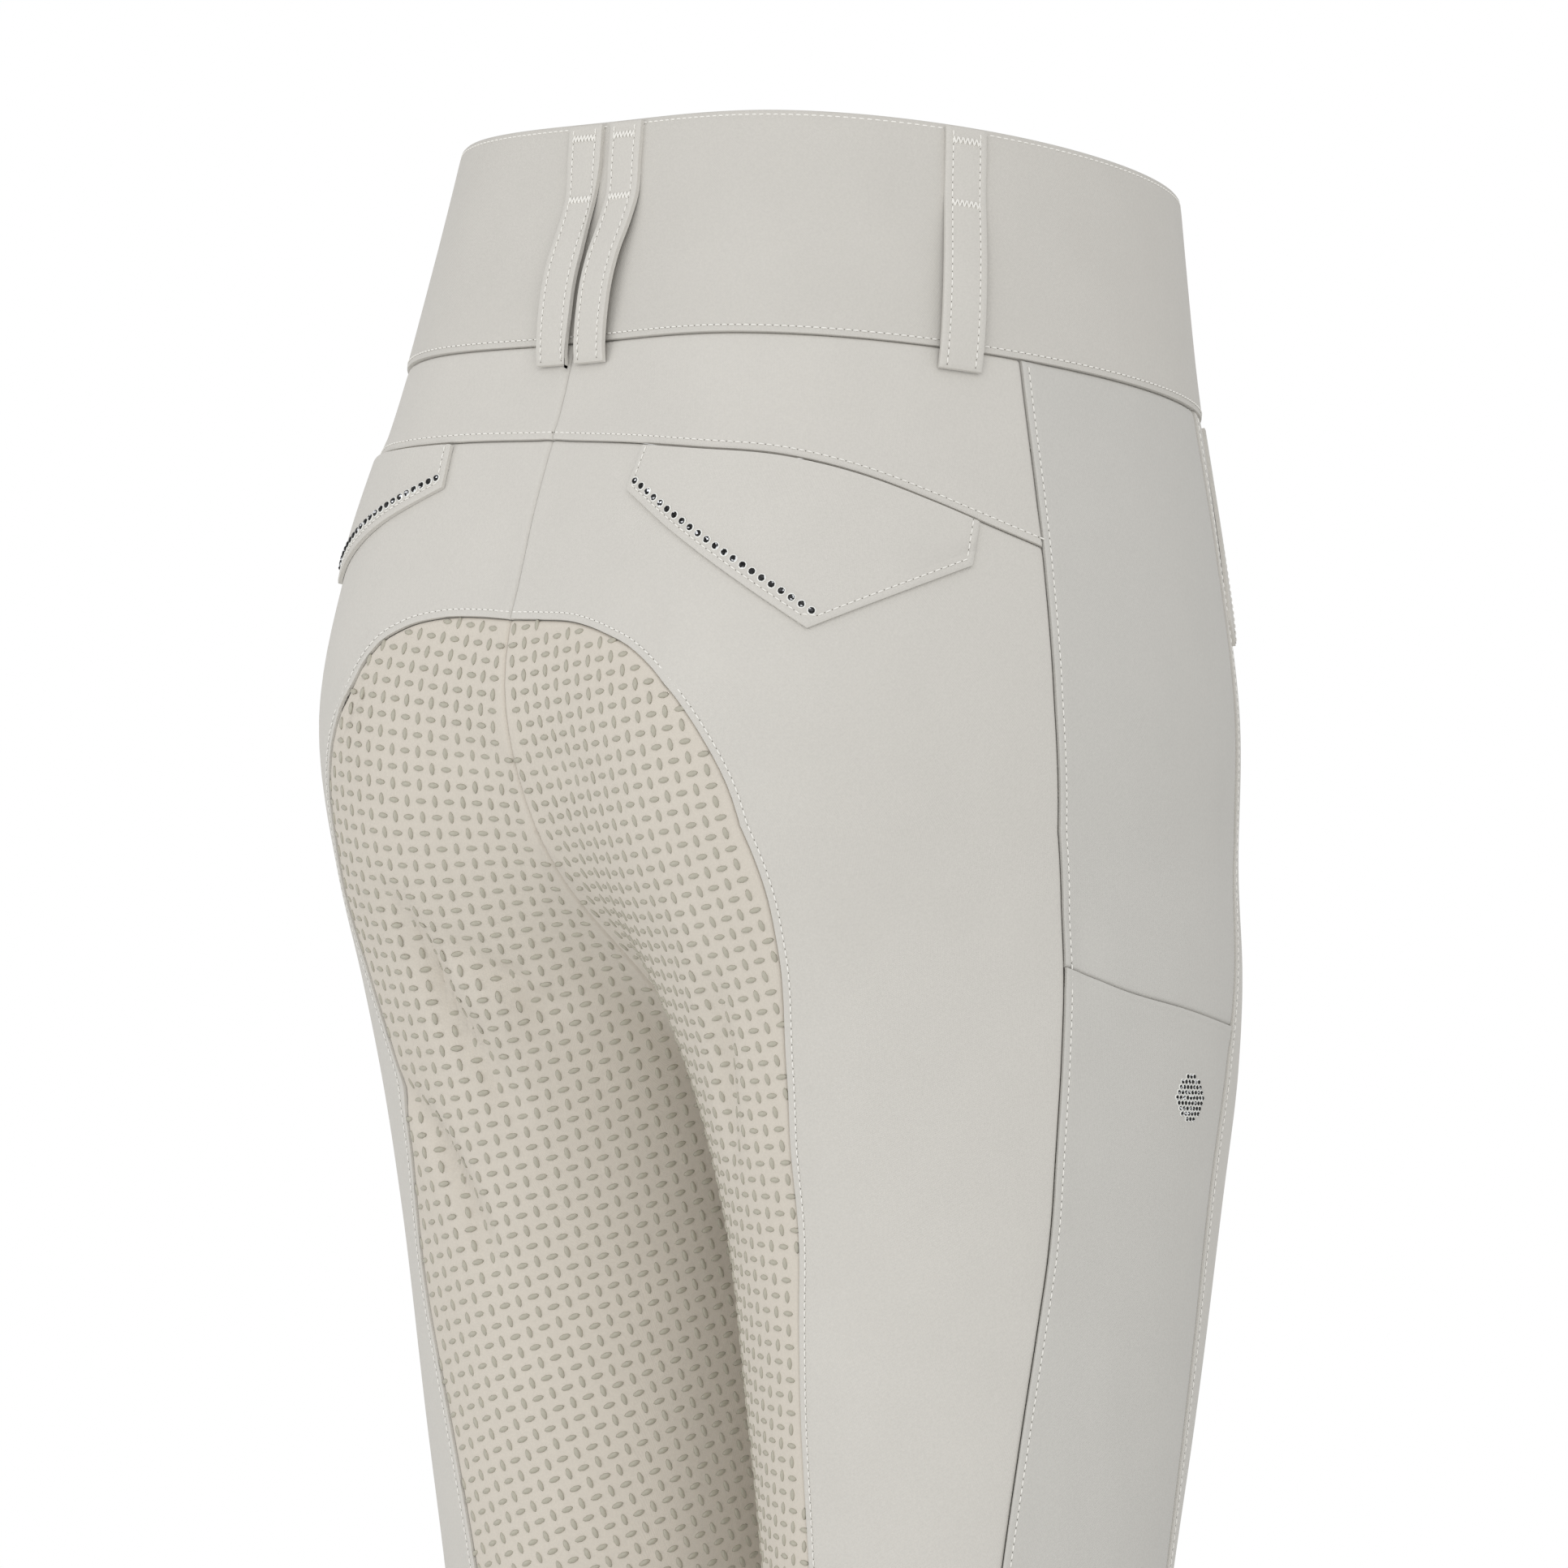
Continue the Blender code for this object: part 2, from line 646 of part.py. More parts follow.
def main():
    clear_scene()
    grids = {side: panel_grid(side) for side in ("right", "left")}
    band_cloth = finish_of("waistband cloth", "#cfccc7", 0.82)
    waistband(grids, band_cloth)
    for side in ("right", "left"):
        for name, (blocks, colour, roughness) in PANELS.items():
            cells = [cell for corners in blocks for cell in block(*corners)]
            cloth = finish_of(f"{name} cloth {side}", colour, roughness)
            if (name, side) not in STRETCHED_AT:
                panel(name, side, grids, cells, cloth)
                continue
            meeting = ROW_AT[STRETCHED_AT[name, side]]
            upper = [cell for cell in cells if cell[0] < meeting]
            lower = [cell for cell in cells if cell[0] >= meeting]
            panel(f"{name}_upper", side, grids, upper, cloth)
            panel(f"{name}_lower", side, grids, lower, cloth)
        pocket_flap(side, finish_of(f"flap cloth {side}", "#d3d0ca", 0.82))
        front_pocket(side, finish_of(f"pocket cloth {side}", "#cfccc7", 0.82))
    loop_cloth = finish_of("loop cloth", "#d1cec8", 0.82)
    for name, side, top_turn, bottom_turn in LOOPS:
        belt_loop(name, side, top_turn, bottom_turn, loop_cloth)
    fly(finish_of("fly cloth", "#cfccc7", 0.82))
    button_finish = finish_of("button", "#b9b7b2", 0.4)
    for number, height in enumerate(BUTTON_HEIGHTS, 1):
        waist_button(f"waist_button_{number}", height, button_finish)


main()
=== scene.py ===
import bpy
import numpy as np
from mathutils import Matrix


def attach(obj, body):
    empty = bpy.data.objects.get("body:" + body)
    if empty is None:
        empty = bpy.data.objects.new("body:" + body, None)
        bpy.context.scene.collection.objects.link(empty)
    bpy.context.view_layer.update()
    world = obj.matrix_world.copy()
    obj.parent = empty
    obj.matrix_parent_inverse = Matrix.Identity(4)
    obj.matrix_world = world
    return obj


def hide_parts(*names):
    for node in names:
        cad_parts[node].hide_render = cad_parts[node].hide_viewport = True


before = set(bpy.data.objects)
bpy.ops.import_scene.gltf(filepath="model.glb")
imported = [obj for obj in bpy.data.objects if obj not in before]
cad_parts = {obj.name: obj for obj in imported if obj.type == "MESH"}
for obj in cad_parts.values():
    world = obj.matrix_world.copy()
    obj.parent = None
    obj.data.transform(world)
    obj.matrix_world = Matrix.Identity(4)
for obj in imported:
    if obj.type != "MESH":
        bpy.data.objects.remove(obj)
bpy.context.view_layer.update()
solids = set(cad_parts)
sides = ("right", "left")

figure = {
    # height, centre x, centre y, reach outwards, inwards, forwards, backwards, softness of the join
    "levels": (
        (30, 44, 4, 74, 74, 100, 88, 60),
        (0, 46, 4, 77, 77, 100, 95, 60),
        (-75, 52, 6, 84, 84, 102, 113, 64),
        (-130, 56, 8, 92, 92, 107, 129, 70),
        (-184, 58, 8, 96, 96, 113, 140, 70),
        (-235, 61, 4, 90, 90, 109, 134, 50),
        (-270, 68, 0, 84, 81, 102, 121, 30),
        (-300, 72, -1, 80, 75, 96, 110, 14),
        (-340, 75, 0, 76, 70, 88, 97, 10),
        (-420, 75, 3, 71, 64, 77, 79, 8),
        (-500, 73, 6, 66, 59, 67, 64, 8),
        (-600, 71, 8, 59, 53, 59, 58, 8),
        (-720, 70, 16, 57, 51, 54, 60, 8),
        (-850, 70, 16, 45, 41, 44, 48, 8),
        (-975, 70, 12, 38, 36, 39, 41, 8),
    ),
    # height, how much a ray rises towards the back
    "tilt": ((30, 0.119), (0, 0.119), (-75, 0.107), (-130, 0.075), (-184, 0.0)),
    "fork": -225,  # the crotch seam leaves the centre back here
    "leg": -372,  # from here down each ring is level
    "swing": 1.3,  # how late the rays of the inner leg swing level
    "reach": 260,  # length of a ray
    "halvings": 26,
}

seams = {
    # down the garment: height, turn
    "sideFront": ((-75, 0.352), (-225, 0.345), (-372, 0.33), (-500, 0.33), (-975, 0.34)),
    "sideBack": (
        (-75, 0.579), (-180, 0.572), (-236, 0.573), (-269, 0.592), (-336, 0.642),
        (-398, 0.671), (-461, 0.695), (-600, 0.71), (-800, 0.68), (-975, 0.64),
    ),
    "seatBorder": (
        (-180, 0.84), (-183, 0.8336), (-190, 0.823), (-200, 0.811), (-212, 0.80), (-222, 0.7946),
        (-225, 0.7935), (-228, 0.7942), (-245, 0.803), (-267, 0.829), (-306, 0.896), (-330, 0.936),
        (-361, 0.968), (-404, 0.99), (-461, 1.005), (-600, 1.01), (-975, 1.0),
    ),
    "centreBack": ((-225, 1.0), (-372, 1.12), (-975, 1.15)),
    "innerFront": ((-225, 1.70), (-372, 1.76), (-975, 1.76)),
    # across it: turn, height on the right, height on the left
    "yoke": (
        (0.0, -125, -118), (0.579, -135, -122), (0.629, -129, -117), (0.658, -125, -113),
        (0.713, -118, -108), (0.762, -114, -105), (0.829, -112, -105), (0.904, -109, -105),
        (1.0, -106, -106),
    ),
    "arch": (
        (0.84, -180, -180), (0.845, -177.65, -177.65), (0.855, -173.8, -171), (0.867, -170.2, -165.6),
        (0.89, -166, -161), (0.925, -162, -158.6), (0.965, -160.6, -158.8), (1.0, -160, -160),
    ),
    "mouth": (
        (0.30, -287, -287), (0.37, -285, -285), (0.45, -281, -281), (0.53, -276, -276),
        (0.60, -268, -268), (1.0, -268, -268),
    ),
    "leftLegTurn": 0.065,  # the left leg sits turned this much towards its outer side
    "turnsBetween": (-290, -390),
}


# vectors at length one
def unit(vector):
    return vector / np.linalg.norm(vector, axis=-1, keepdims=True)


# a bell: full height at 0, falling away on both sides over its reach
def bell(off, height, reach):
    return height * np.exp(-((off / reach) ** 2))


# how much a field rises over a millimetre along x, y and z
def riseOf(field, points):
    return np.stack([field(points + step) - field(points - step) for step in 0.5 * np.eye(3)], -1)


# length passed at each point of a grid, down its columns (0) or along its rows (1)
def lengthAlong(points, axis):
    steps = np.diff(points, axis=axis, prepend=np.take(points, [0], axis))
    return np.cumsum(np.linalg.norm(steps, axis=-1), axis)


# the four corners of each cell of a numbered grid
def cellsOf(number):
    corners = (number[:-1, :-1], number[:-1, 1:], number[1:, 1:], number[1:, :-1])
    return np.stack([corner.ravel() for corner in corners], 1)


# points of a level unit circle
def circle(count, offset=0.0):
    turn = np.linspace(0, 2 * np.pi, count, endpoint=False) + offset
    return np.stack([np.cos(turn), np.sin(turn), 0 * turn], 1)


# cubic through the values at rising knots, level beyond both ends
def curveThrough(at, knots, values):
    knots = np.array(knots, float)
    values = np.array(values, float).reshape(len(knots), -1)
    slopes = np.gradient(values, knots, axis=0)
    at = np.asarray(at, float)
    row = np.clip(np.searchsorted(knots, at) - 1, 0, len(knots) - 2)
    span = knots[row + 1] - knots[row]
    f = np.clip((at - knots[row]) / span, 0, 1)[..., None]
    span = span[..., None]
    start = values[row] * (1 + 2 * f) * (1 - f) ** 2 + span * slopes[row] * f * (1 - f) ** 2
    end = values[row + 1] * f * f * (3 - 2 * f) - span * slopes[row + 1] * f * f * (1 - f)
    return start + end


levelDepths = [-row[0] for row in figure["levels"]]
levelValues = [row[1:] for row in figure["levels"]]


# below 0 inside: two oval tubes, each the distance to its oval, and the lesser of the two with a
# parabola-shaped blend where they are nearly equal
def insideness(point):
    x, y, z = np.moveaxis(point, -1, 0)
    level = curveThrough(-z, levelDepths, levelValues)
    centreX, centreY, outer, inner, front, back, blend = np.moveaxis(level, -1, 0)
    depth = y - centreY
    deep = np.where(depth > 0, back, front)

    def tube(across):
        side = -across - centreX
        wide = np.where(side > 0, outer, inner)
        return (np.sqrt((side / wide) ** 2 + (depth / deep) ** 2) - 1) * 0.5 * (wide + deep)

    right, left = tube(x), tube(-x)
    near = np.maximum(blend - np.abs(right - left), 0) / blend
    return np.minimum(right, left) - near * near * blend / 4


# start and way of the ray to a place: level from the middle plane above the fork; below it, from
# the middle of the leg, and on the inner leg swinging from straight down to level
def raysTo(turn, height):
    intoLeg = np.clip((figure["fork"] - height) / (figure["fork"] - figure["leg"]), 0, 1)
    centre = curveThrough(-height, levelDepths, levelValues)
    tilt = np.interp(-height, [-row[0] for row in figure["tilt"]], [row[1] for row in figure["tilt"]])
    swing = intoLeg ** figure["swing"] * np.pi / 2
    sideways = np.sin(np.pi * turn)
    forwards = -np.cos(np.pi * turn)
    innerLeg = turn > 1
    start = np.stack([-centre[..., 0] * np.sin(intoLeg * np.pi / 2), centre[..., 1], height], -1)
    wayX = np.where(innerLeg, -np.sin(swing) * sideways, -sideways)
    wayZ = np.where(innerLeg, np.cos(swing) * sideways, 0) + tilt * forwards
    return start, np.stack([wayX, forwards, wayZ], -1)


# point on the smooth form and its outward normal: the ray is halved until it meets the surface
def onForm(turn, height, side):
    turn, height = np.broadcast_arrays(np.asarray(turn, float), np.asarray(height, float))
    start, way = raysTo(turn, height)
    near = np.zeros(turn.shape)
    inwards = way[..., 0] > 0
    toMiddle = -start[..., 0] / np.where(inwards, way[..., 0], 1)
    far = np.where(inwards, np.minimum(figure["reach"], toMiddle), figure["reach"])
    for _ in range(figure["halvings"]):
        middle = (near + far) / 2
        inside = insideness(start + way * middle[..., None]) < 0
        near = np.where(inside, middle, near)
        far = np.where(inside, far, middle)
    point = start + way * far[..., None]
    normal = unit(riseOf(insideness, point))
    flip = (1, 1, 1) if side == "right" else (-1, 1, 1)
    return point * flip, normal * flip


folds = {
    # side, half width, depth (a ridge is negative), then the places it runs through
    "lines": (
        ("left", 5, 6.2, ((0.858, -239), (0.896, -253), (0.946, -280), (1.004, -298), (1.062, -305))),
        ("left", 5, 5.8, ((0.883, -302), (0.95, -320), (0.992, -336), (1.029, -352), (1.054, -371))),
        ("left", 5, 4.2, ((0.929, -256), (0.975, -268), (1.017, -272), (1.071, -261))),
        ("left", 8, -2.2, ((0.946, -264), (0.983, -277), (1.029, -285))),
        ("left", 9, 1.4, ((0.921, -199), (0.971, -203), (0.996, -214))),
        ("right", 5, 4.4, ((0.896, -268), (0.925, -284), (0.96, -300), (1.0, -316), (1.04, -330))),
        ("right", 8, -2.4, ((0.879, -245), (0.9, -261), (0.93, -277), (0.967, -295))),
        ("right", 9, 1.4, ((0.908, -210), (0.946, -206), (0.992, -203))),
        ("right", 4, 1.2, ((0.571, -244), (0.571, -276))),
        ("right", 9, 0.7, ((0.6, -357), (0.579, -402), (0.554, -463))),
        ("right", 8, 0.6, ((0.517, -365), (0.496, -401), (0.45, -463))),
        ("both", 12, 1.6, ((1.70, -266), (1.62, -296), (1.52, -330))),
        ("both", 14, 1.2, ((1.80, -262), (1.72, -290), (1.62, -324))),
        ("both", 12, 1.6, ((0.02, -228), (0.11, -243), (0.20, -262))),
        ("both", 10, 1.5, ((0.86, -585), (1.0, -590), (1.14, -602))),
        ("both", 9, 1.2, ((0.84, -622), (1.0, -629), (1.16, -630))),
        ("both", 8, 1.1, ((0.30, -905), (0.46, -908), (0.62, -915))),
        ("both", 8, 1.0, ((1.1, -918), (1.3, -926), (1.5, -930))),
    ),
    "fade": 0.03,  # a fold starts and ends this share of the way up from nothing
    "uneven": (0.22, 31, 23, 27, 47),  # height and lengths of the slow waves between the folds
}


# distance from each point to a broken line, and how far along the line the nearest place is
def offPath(points, path):
    lengths = np.linalg.norm(np.diff(path, axis=0), axis=1)
    before = np.concatenate([[0], np.cumsum(lengths)])
    best = np.full(points.shape[:-1], 1e9)
    along = np.zeros(points.shape[:-1])
    for start, end, length, passed in zip(path, path[1:], lengths, before):
        run = end - start
        t = np.clip((points - start) @ run / max(length * length, 1e-9), 0, 1)
        off = np.linalg.norm(points - start - t[..., None] * run, axis=-1)
        closer = off < best
        best = np.where(closer, off, best)
        along = np.where(closer, (passed + t * length) / before[-1], along)
    return best, along


# each fold of a side as points on the form, a cubic through its places
def foldPaths(side):
    paths = []
    for owner, halfWidth, depth, places in folds["lines"]:
        if owner in ("both", side):
            knots = np.arange(len(places))
            fine = curveThrough(np.linspace(0, len(places) - 1, 14), knots, places)
            paths.append((onForm(fine[:, 0], fine[:, 1], side)[0], halfWidth, depth))
    return paths


foldsOn = {side: foldPaths(side) for side in sides}


# how far the cloth lies out from the form: each fold is a bell across its line and fades at its
# ends, and a slow product of two sines makes the rest uneven
def relief(points, side):
    out = np.zeros(points.shape[:-1])
    fade = folds["fade"]
    for path, halfWidth, depth in foldsOn[side]:
        off, along = offPath(points, path)
        out = out - bell(off, depth, halfWidth) * np.sin(np.pi * (fade + (1 - 2 * fade) * along))
    x, y, z = np.moveaxis(points, -1, 0)
    high, a, b, c, d = folds["uneven"]
    return out + high * np.sin(z / a + x / b) * np.sin(y / c - z / d)


grid = {
    # key row, its level in the middle, cells below it; key column, cells after it
    "rows": (
        ("waist", 0, 9), ("band", -75, 7), ("yoke", -115, 11), ("arch", -180, 8),
        ("fork", -225, 16), ("mouth", -275, 32), ("leg", -372, 90), ("hem", -975, 0),
    ),
    "columns": (
        ("centreFront", 32), ("sideFront", 21), ("sideBack", 25), ("seatBorder", 20),
        ("centreBack", 44), ("innerFront", 14), ("frontAgain", 0),
    ),
    "beside": (0.4, 1.0, 1.7, 2.4, 3.2, 4.6),  # lines at these distances from a seam
}
keyRow, keyColumn = {}, {}
for names, found in ((grid["rows"], keyRow), (grid["columns"], keyColumn)):
    total = 0
    for entry in names:
        found[entry[0]] = total
        total += entry[-1] + 2 * len(grid["beside"]) if entry[-1] else 0


# turns of all key columns at these heights; below the crotch the left leg's are turned
def keyTurns(height, side):
    turns = []
    for name, _ in grid["columns"]:
        if name in ("centreFront", "frontAgain"):
            turns.append(np.full(np.shape(height), 0.0 if name == "centreFront" else 2.0))
            continue
        table = seams[name]
        turn = curveThrough(-height, [-row[0] for row in table], [row[1] for row in table])[..., 0]
        if side == "left":
            top, bottom = seams["turnsBetween"]
            f = np.clip((top - height) / (top - bottom), 0, 1)
            turn = turn - seams["leftLegTurn"] * f * f * (3 - 2 * f)
        turns.append(turn)
    return np.stack(turns)


# height of a seam that runs across, at these turns
def rowHeight(name, turn, side):
    table = seams[name]
    which = 1 if side == "right" else 2
    return curveThrough(turn, [row[0] for row in table], [row[which] for row in table])[..., 0]


# heights of all key rows at these turns
def keyHeights(turn, side):
    levels = []
    for name, level, _ in grid["rows"]:
        crosses = name in ("yoke", "arch", "mouth")
        levels.append(rowHeight(name, turn, side) if crosses else np.full(np.shape(turn), float(level)))
    return np.stack(levels)


# turn and height of each grid place from its share of its row band and column band; each leans on
# the other, so both are worked out a few times over
def gridPlaces(rowBand, rowShare, columnBand, columnShare, side):
    shape = rowShare.shape
    r, c = np.indices(shape)
    bandOfRow = np.broadcast_to(rowBand[:, None], shape)
    bandOfColumn = np.broadcast_to(columnBand[None, :], shape)
    middles = np.array([level for _, level, _ in grid["rows"]], float)
    heights = (1 - rowShare) * middles[bandOfRow] + rowShare * middles[bandOfRow + 1]
    for _ in range(3):
        across = keyTurns(heights, side)
        turns = (1 - columnShare) * across[bandOfColumn, r, c] + columnShare * across[bandOfColumn + 1, r, c]
        down = keyHeights(turns, side)
        heights = (1 - rowShare) * down[bandOfRow, r, c] + rowShare * down[bandOfRow + 1, r, c]
    return turns, heights


# shares of a band from 0 to just under 1: lines at set distances from both ends, but within a third
# of the band, and even between
def spread(length, cells):
    beside = np.array(grid["beside"])
    near = np.minimum(beside / length[:, None], 0.32 * beside / beside[-1])
    steps = np.linspace(0, 1, cells + 1)[1:-1]
    first, last = near[:, -1:], 1 - near[:, -1:]
    return np.concatenate([0 * first, near, first + (last - first) * steps, 1 - near[:, ::-1]], 1)


# lines of neighbouring bands, whole numbers where a band starts: each has its count of even steps
def evenLines(counts):
    return np.append(np.concatenate([band + np.arange(n) / n for band, n in enumerate(counts)]), len(counts))


# the grid of one side: points of the form, their normals and the relief there
def panelGrid(side):
    bands = (len(grid["rows"]) - 1, len(grid["columns"]) - 1)
    perBand = 8
    # coarse lines, to read the size of each band where each fine line runs
    coarse = [evenLines([perBand] * count) for count in bands]
    own = [np.minimum(lines.astype(int), count - 1) for lines, count in zip(coarse, bands)]
    shape = (len(coarse[0]), len(coarse[1]))
    rowShare = np.broadcast_to((coarse[0] - own[0])[:, None], shape)
    columnShare = np.broadcast_to(coarse[1] - own[1], shape)
    points, _ = onForm(*gridPlaces(own[0], rowShare, own[1], columnShare, side), side)
    across, down = (np.linalg.norm(np.diff(points, axis=axis), axis=-1) for axis in (1, 0))
    widths = across.reshape(shape[0], bands[1], perBand).sum(2)
    depths = down.reshape(bands[0], perBand, shape[1]).sum(1)
    rowCells, columnCells = ([entry[-1] for entry in grid[key][:-1]] for key in ("rows", "columns"))
    fine = [evenLines([n + 2 * len(grid["beside"]) for n in cells]) for cells in (rowCells, columnCells)]
    columnShares = [spread(np.maximum(np.interp(fine[0], coarse[0], widths[:, band]), 1), n)
                    for band, n in enumerate(columnCells)]
    rowShares = [spread(np.maximum(np.interp(fine[1], coarse[1], depths[band]), 1), n).T
                 for band, n in enumerate(rowCells)]
    columnShare = np.concatenate(columnShares + [np.ones((len(fine[0]), 1))], 1)
    rowShare = np.concatenate(rowShares + [np.ones((1, len(fine[1])))], 0)
    own = [np.minimum(lines.astype(int), count - 1) for lines, count in zip(fine, bands)]
    points, normals = onForm(*gridPlaces(own[0], rowShare, own[1], columnShare, side), side)
    return {"points": points, "normals": normals, "relief": relief(points, side)}


grids = {side: panelGrid(side) for side in sides}
print("form:", grids["right"]["points"].shape[:2], "grid places a side")


# sRGB hex to linear light
def linear(hexColour):
    channels = [int(hexColour[i : i + 2], 16) / 255 for i in (1, 3, 5)]
    return tuple(c / 12.92 if c <= 0.04045 else ((c + 0.055) / 1.055) ** 2.4 for c in channels) + (1.0,)


# adds a node with its settings, by socket or by property, and its links
def addNode(tree, kind, settings=None, links=None):
    made = tree.nodes.new(kind)
    for key, value in (settings or {}).items():
        if isinstance(key, int) or key in made.inputs:
            made.inputs[key].default_value = value
        else:
            setattr(made, key, value)
    for socket, source in (links or {}).items():
        tree.links.new(source, made.inputs[socket])
    return made


def newMaterial(name, settings):
    material = bpy.data.materials.new(name)
    material.use_nodes = True
    tree = material.node_tree
    shader = tree.nodes["Principled BSDF"]
    for key, value in settings.items():
        shader.inputs[key].default_value = value
    return material, tree, shader


clothFinish = {
    "rib": 0.95,  # millimetres between wales, drawn coarser than the real 0.4 so that it shows
    "courseShare": 0.8,  # courses to each wale
    "ribDepth": 0.00005,  # metres
    "grain": 0.8,  # millimetres
    "grainDepth": 0.00007,  # metres
    "fleck": (0.965, 1.02),  # darkest and lightest tone of the grain
    "mottle": 26,  # millimetres
    "mottleShare": 0.03,
}


# warp-knitted nylon and elastane: matt, with a fine close grain and a soft bloom at grazing light
def knitCloth(name, hexColour):
    base = linear(hexColour)
    material, tree, shader = newMaterial(
        name, {"Roughness": 0.86, "Sheen Weight": 0.12, "Sheen Roughness": 0.45, "IOR": 1.45}
    )
    where = addNode(tree, "ShaderNodeTexCoord")
    flat = addNode(tree, "ShaderNodeSeparateXYZ", links={0: where.outputs["UV"]})
    turnsEach = 2 * np.pi * 100 / clothFinish["rib"]  # UV is in units of 100 mm
    waves = []
    for axis, share in (("X", 1.0), ("Y", clothFinish["courseShare"])):
        scaled = addNode(tree, "ShaderNodeMath", {"operation": "MULTIPLY", 1: turnsEach * share},
                         {0: flat.outputs[axis]})
        waves.append(addNode(tree, "ShaderNodeMath", {"operation": "SINE"}, {0: scaled.outputs[0]}))
    knit = addNode(tree, "ShaderNodeMath", {"operation": "MULTIPLY"},
                   {0: waves[0].outputs[0], 1: waves[1].outputs[0]})
    grain, mottle = (
        addNode(tree, "ShaderNodeTexNoise", {"Scale": 1000 / clothFinish[size], "Detail": detail},
                {"Vector": where.outputs["Object"]})
        for size, detail in (("grain", 2.0), ("mottle", 3.0))
    )
    share = clothFinish["mottleShare"]
    darkest, lightest = clothFinish["fleck"]
    tone = addNode(tree, "ShaderNodeMapRange", {"To Min": 1 - share, "To Max": 1 + share},
                   {"Value": mottle.outputs[0]})
    fleck = addNode(tree, "ShaderNodeMapRange", {"From Min": 0.3, "From Max": 0.7, "To Min": darkest,
                                                 "To Max": lightest}, {"Value": grain.outputs[0]})
    both = addNode(tree, "ShaderNodeMath", {"operation": "MULTIPLY"},
                   {0: tone.outputs[0], 1: fleck.outputs[0]})
    colour = addNode(tree, "ShaderNodeVectorMath", {"operation": "SCALE", 0: base[:3]},
                     {"Scale": both.outputs[0]})
    tree.links.new(colour.outputs[0], shader.inputs["Base Color"])
    ribs = addNode(tree, "ShaderNodeBump", {"Strength": 0.5, "Distance": clothFinish["ribDepth"]},
                   {"Height": knit.outputs[0]})
    bump = addNode(tree, "ShaderNodeBump", {"Strength": 0.6, "Distance": clothFinish["grainDepth"]},
                   {"Height": grain.outputs[0], "Normal": ribs.outputs[0]})
    tree.links.new(bump.outputs[0], shader.inputs["Normal"])
    return material


def plainFinish(name, hexColour, **settings):
    return newMaterial(name, {"Base Color": linear(hexColour), **settings})[0]


cloths = {
    "main": knitCloth("warp knit, stone grey", "#cfccc6"),
    "band": knitCloth("warp knit, waistband", "#cbc8c2"),
    "side": knitCloth("warp knit, side panels", "#c8c6c1"),
    "grip": knitCloth("warp knit, warm stone", "#d2cbc0"),
}
# spun polyester, undyed: a soft matt white
threadFinish = plainFinish("spun polyester thread", "#f1efea", Roughness=0.7)
# painted shade: the little light that comes back out of a needle's hole
holeShadeFinish = plainFinish("needle hole shadow", "#79756d", Roughness=0.95)


# vertices in millimetres; faces as rows of one length, or lists
def addPiece(name, vertices, faces, material, nodes=(), uv=None, sharp=45, smooth=True):
    mesh = bpy.data.meshes.new(name)
    mesh.from_pydata((np.asarray(vertices) * 0.001).tolist(), [], [tuple(face) for face in faces])
    mesh.polygons.foreach_set("use_smooth", np.full(len(mesh.polygons), smooth))
    if smooth and sharp:
        mesh.set_sharp_from_angle(angle=np.radians(sharp))
    if uv is not None:
        corner = np.zeros(len(mesh.loops), int)
        mesh.loops.foreach_get("vertex_index", corner)
        layer = mesh.uv_layers.new(name="flat")
        layer.data.foreach_set("uv", (np.asarray(uv)[corner] * 0.01).astype(np.float32).ravel())
    mesh.materials.append(material)
    piece = bpy.data.objects.new(name, mesh)
    bpy.context.scene.collection.objects.link(piece)
    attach(piece, "root")
    if nodes:
        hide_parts(*nodes)
    return piece


# one closed sheet: outer face, inner face one thickness below it, and the rim between them; its edge
# is moved in a little, so that two sheets that meet don't share a wall
def closedSheet(points, normals, quads, thickness, inset):
    edges = np.concatenate([quads[:, [i, (i + 1) % 4]] for i in range(4)])
    count = len(points)
    forward = edges[:, 0] * count + edges[:, 1]
    backward = edges[:, 1] * count + edges[:, 0]
    border = edges[~np.isin(forward, backward)]
    start, end = border.T
    way = np.cross(normals[start] + normals[end], points[end] - points[start])
    way /= np.maximum(np.linalg.norm(way, axis=1, keepdims=True), 1e-9)
    moves = np.zeros_like(points)
    np.add.at(moves, start, way)
    np.add.at(moves, end, way)
    long = np.linalg.norm(moves, axis=1, keepdims=True)
    outer = points + inset * moves / np.where(long > 1e-9, long, 1)
    inner = outer - normals * thickness
    rim = np.stack([end, start, start + count, end + count], 1)
    faces = np.concatenate([quads, quads[:, ::-1] + count, rim])
    used = np.unique(faces)
    renumber = np.zeros(2 * count, int)
    renumber[used] = np.arange(len(used))
    return np.concatenate([outer, inner])[used], renumber[faces], used


# a closed sheet as a piece; across and down are its places on the flat cut, and make its UV map
def clothPiece(name, points, normals, quads, thickness, across, down, cloth, nodes, inset=0.07):
    flatPoints, flatNormals = points.reshape(-1, 3), normals.reshape(-1, 3)
    vertices, faces, used = closedSheet(flatPoints, flatNormals, quads, thickness, inset)
    flat = np.stack([across, -down], -1).reshape(-1, 2)
    return addPiece(name, vertices, faces, cloths[cloth], nodes, np.concatenate([flat, flat])[used])


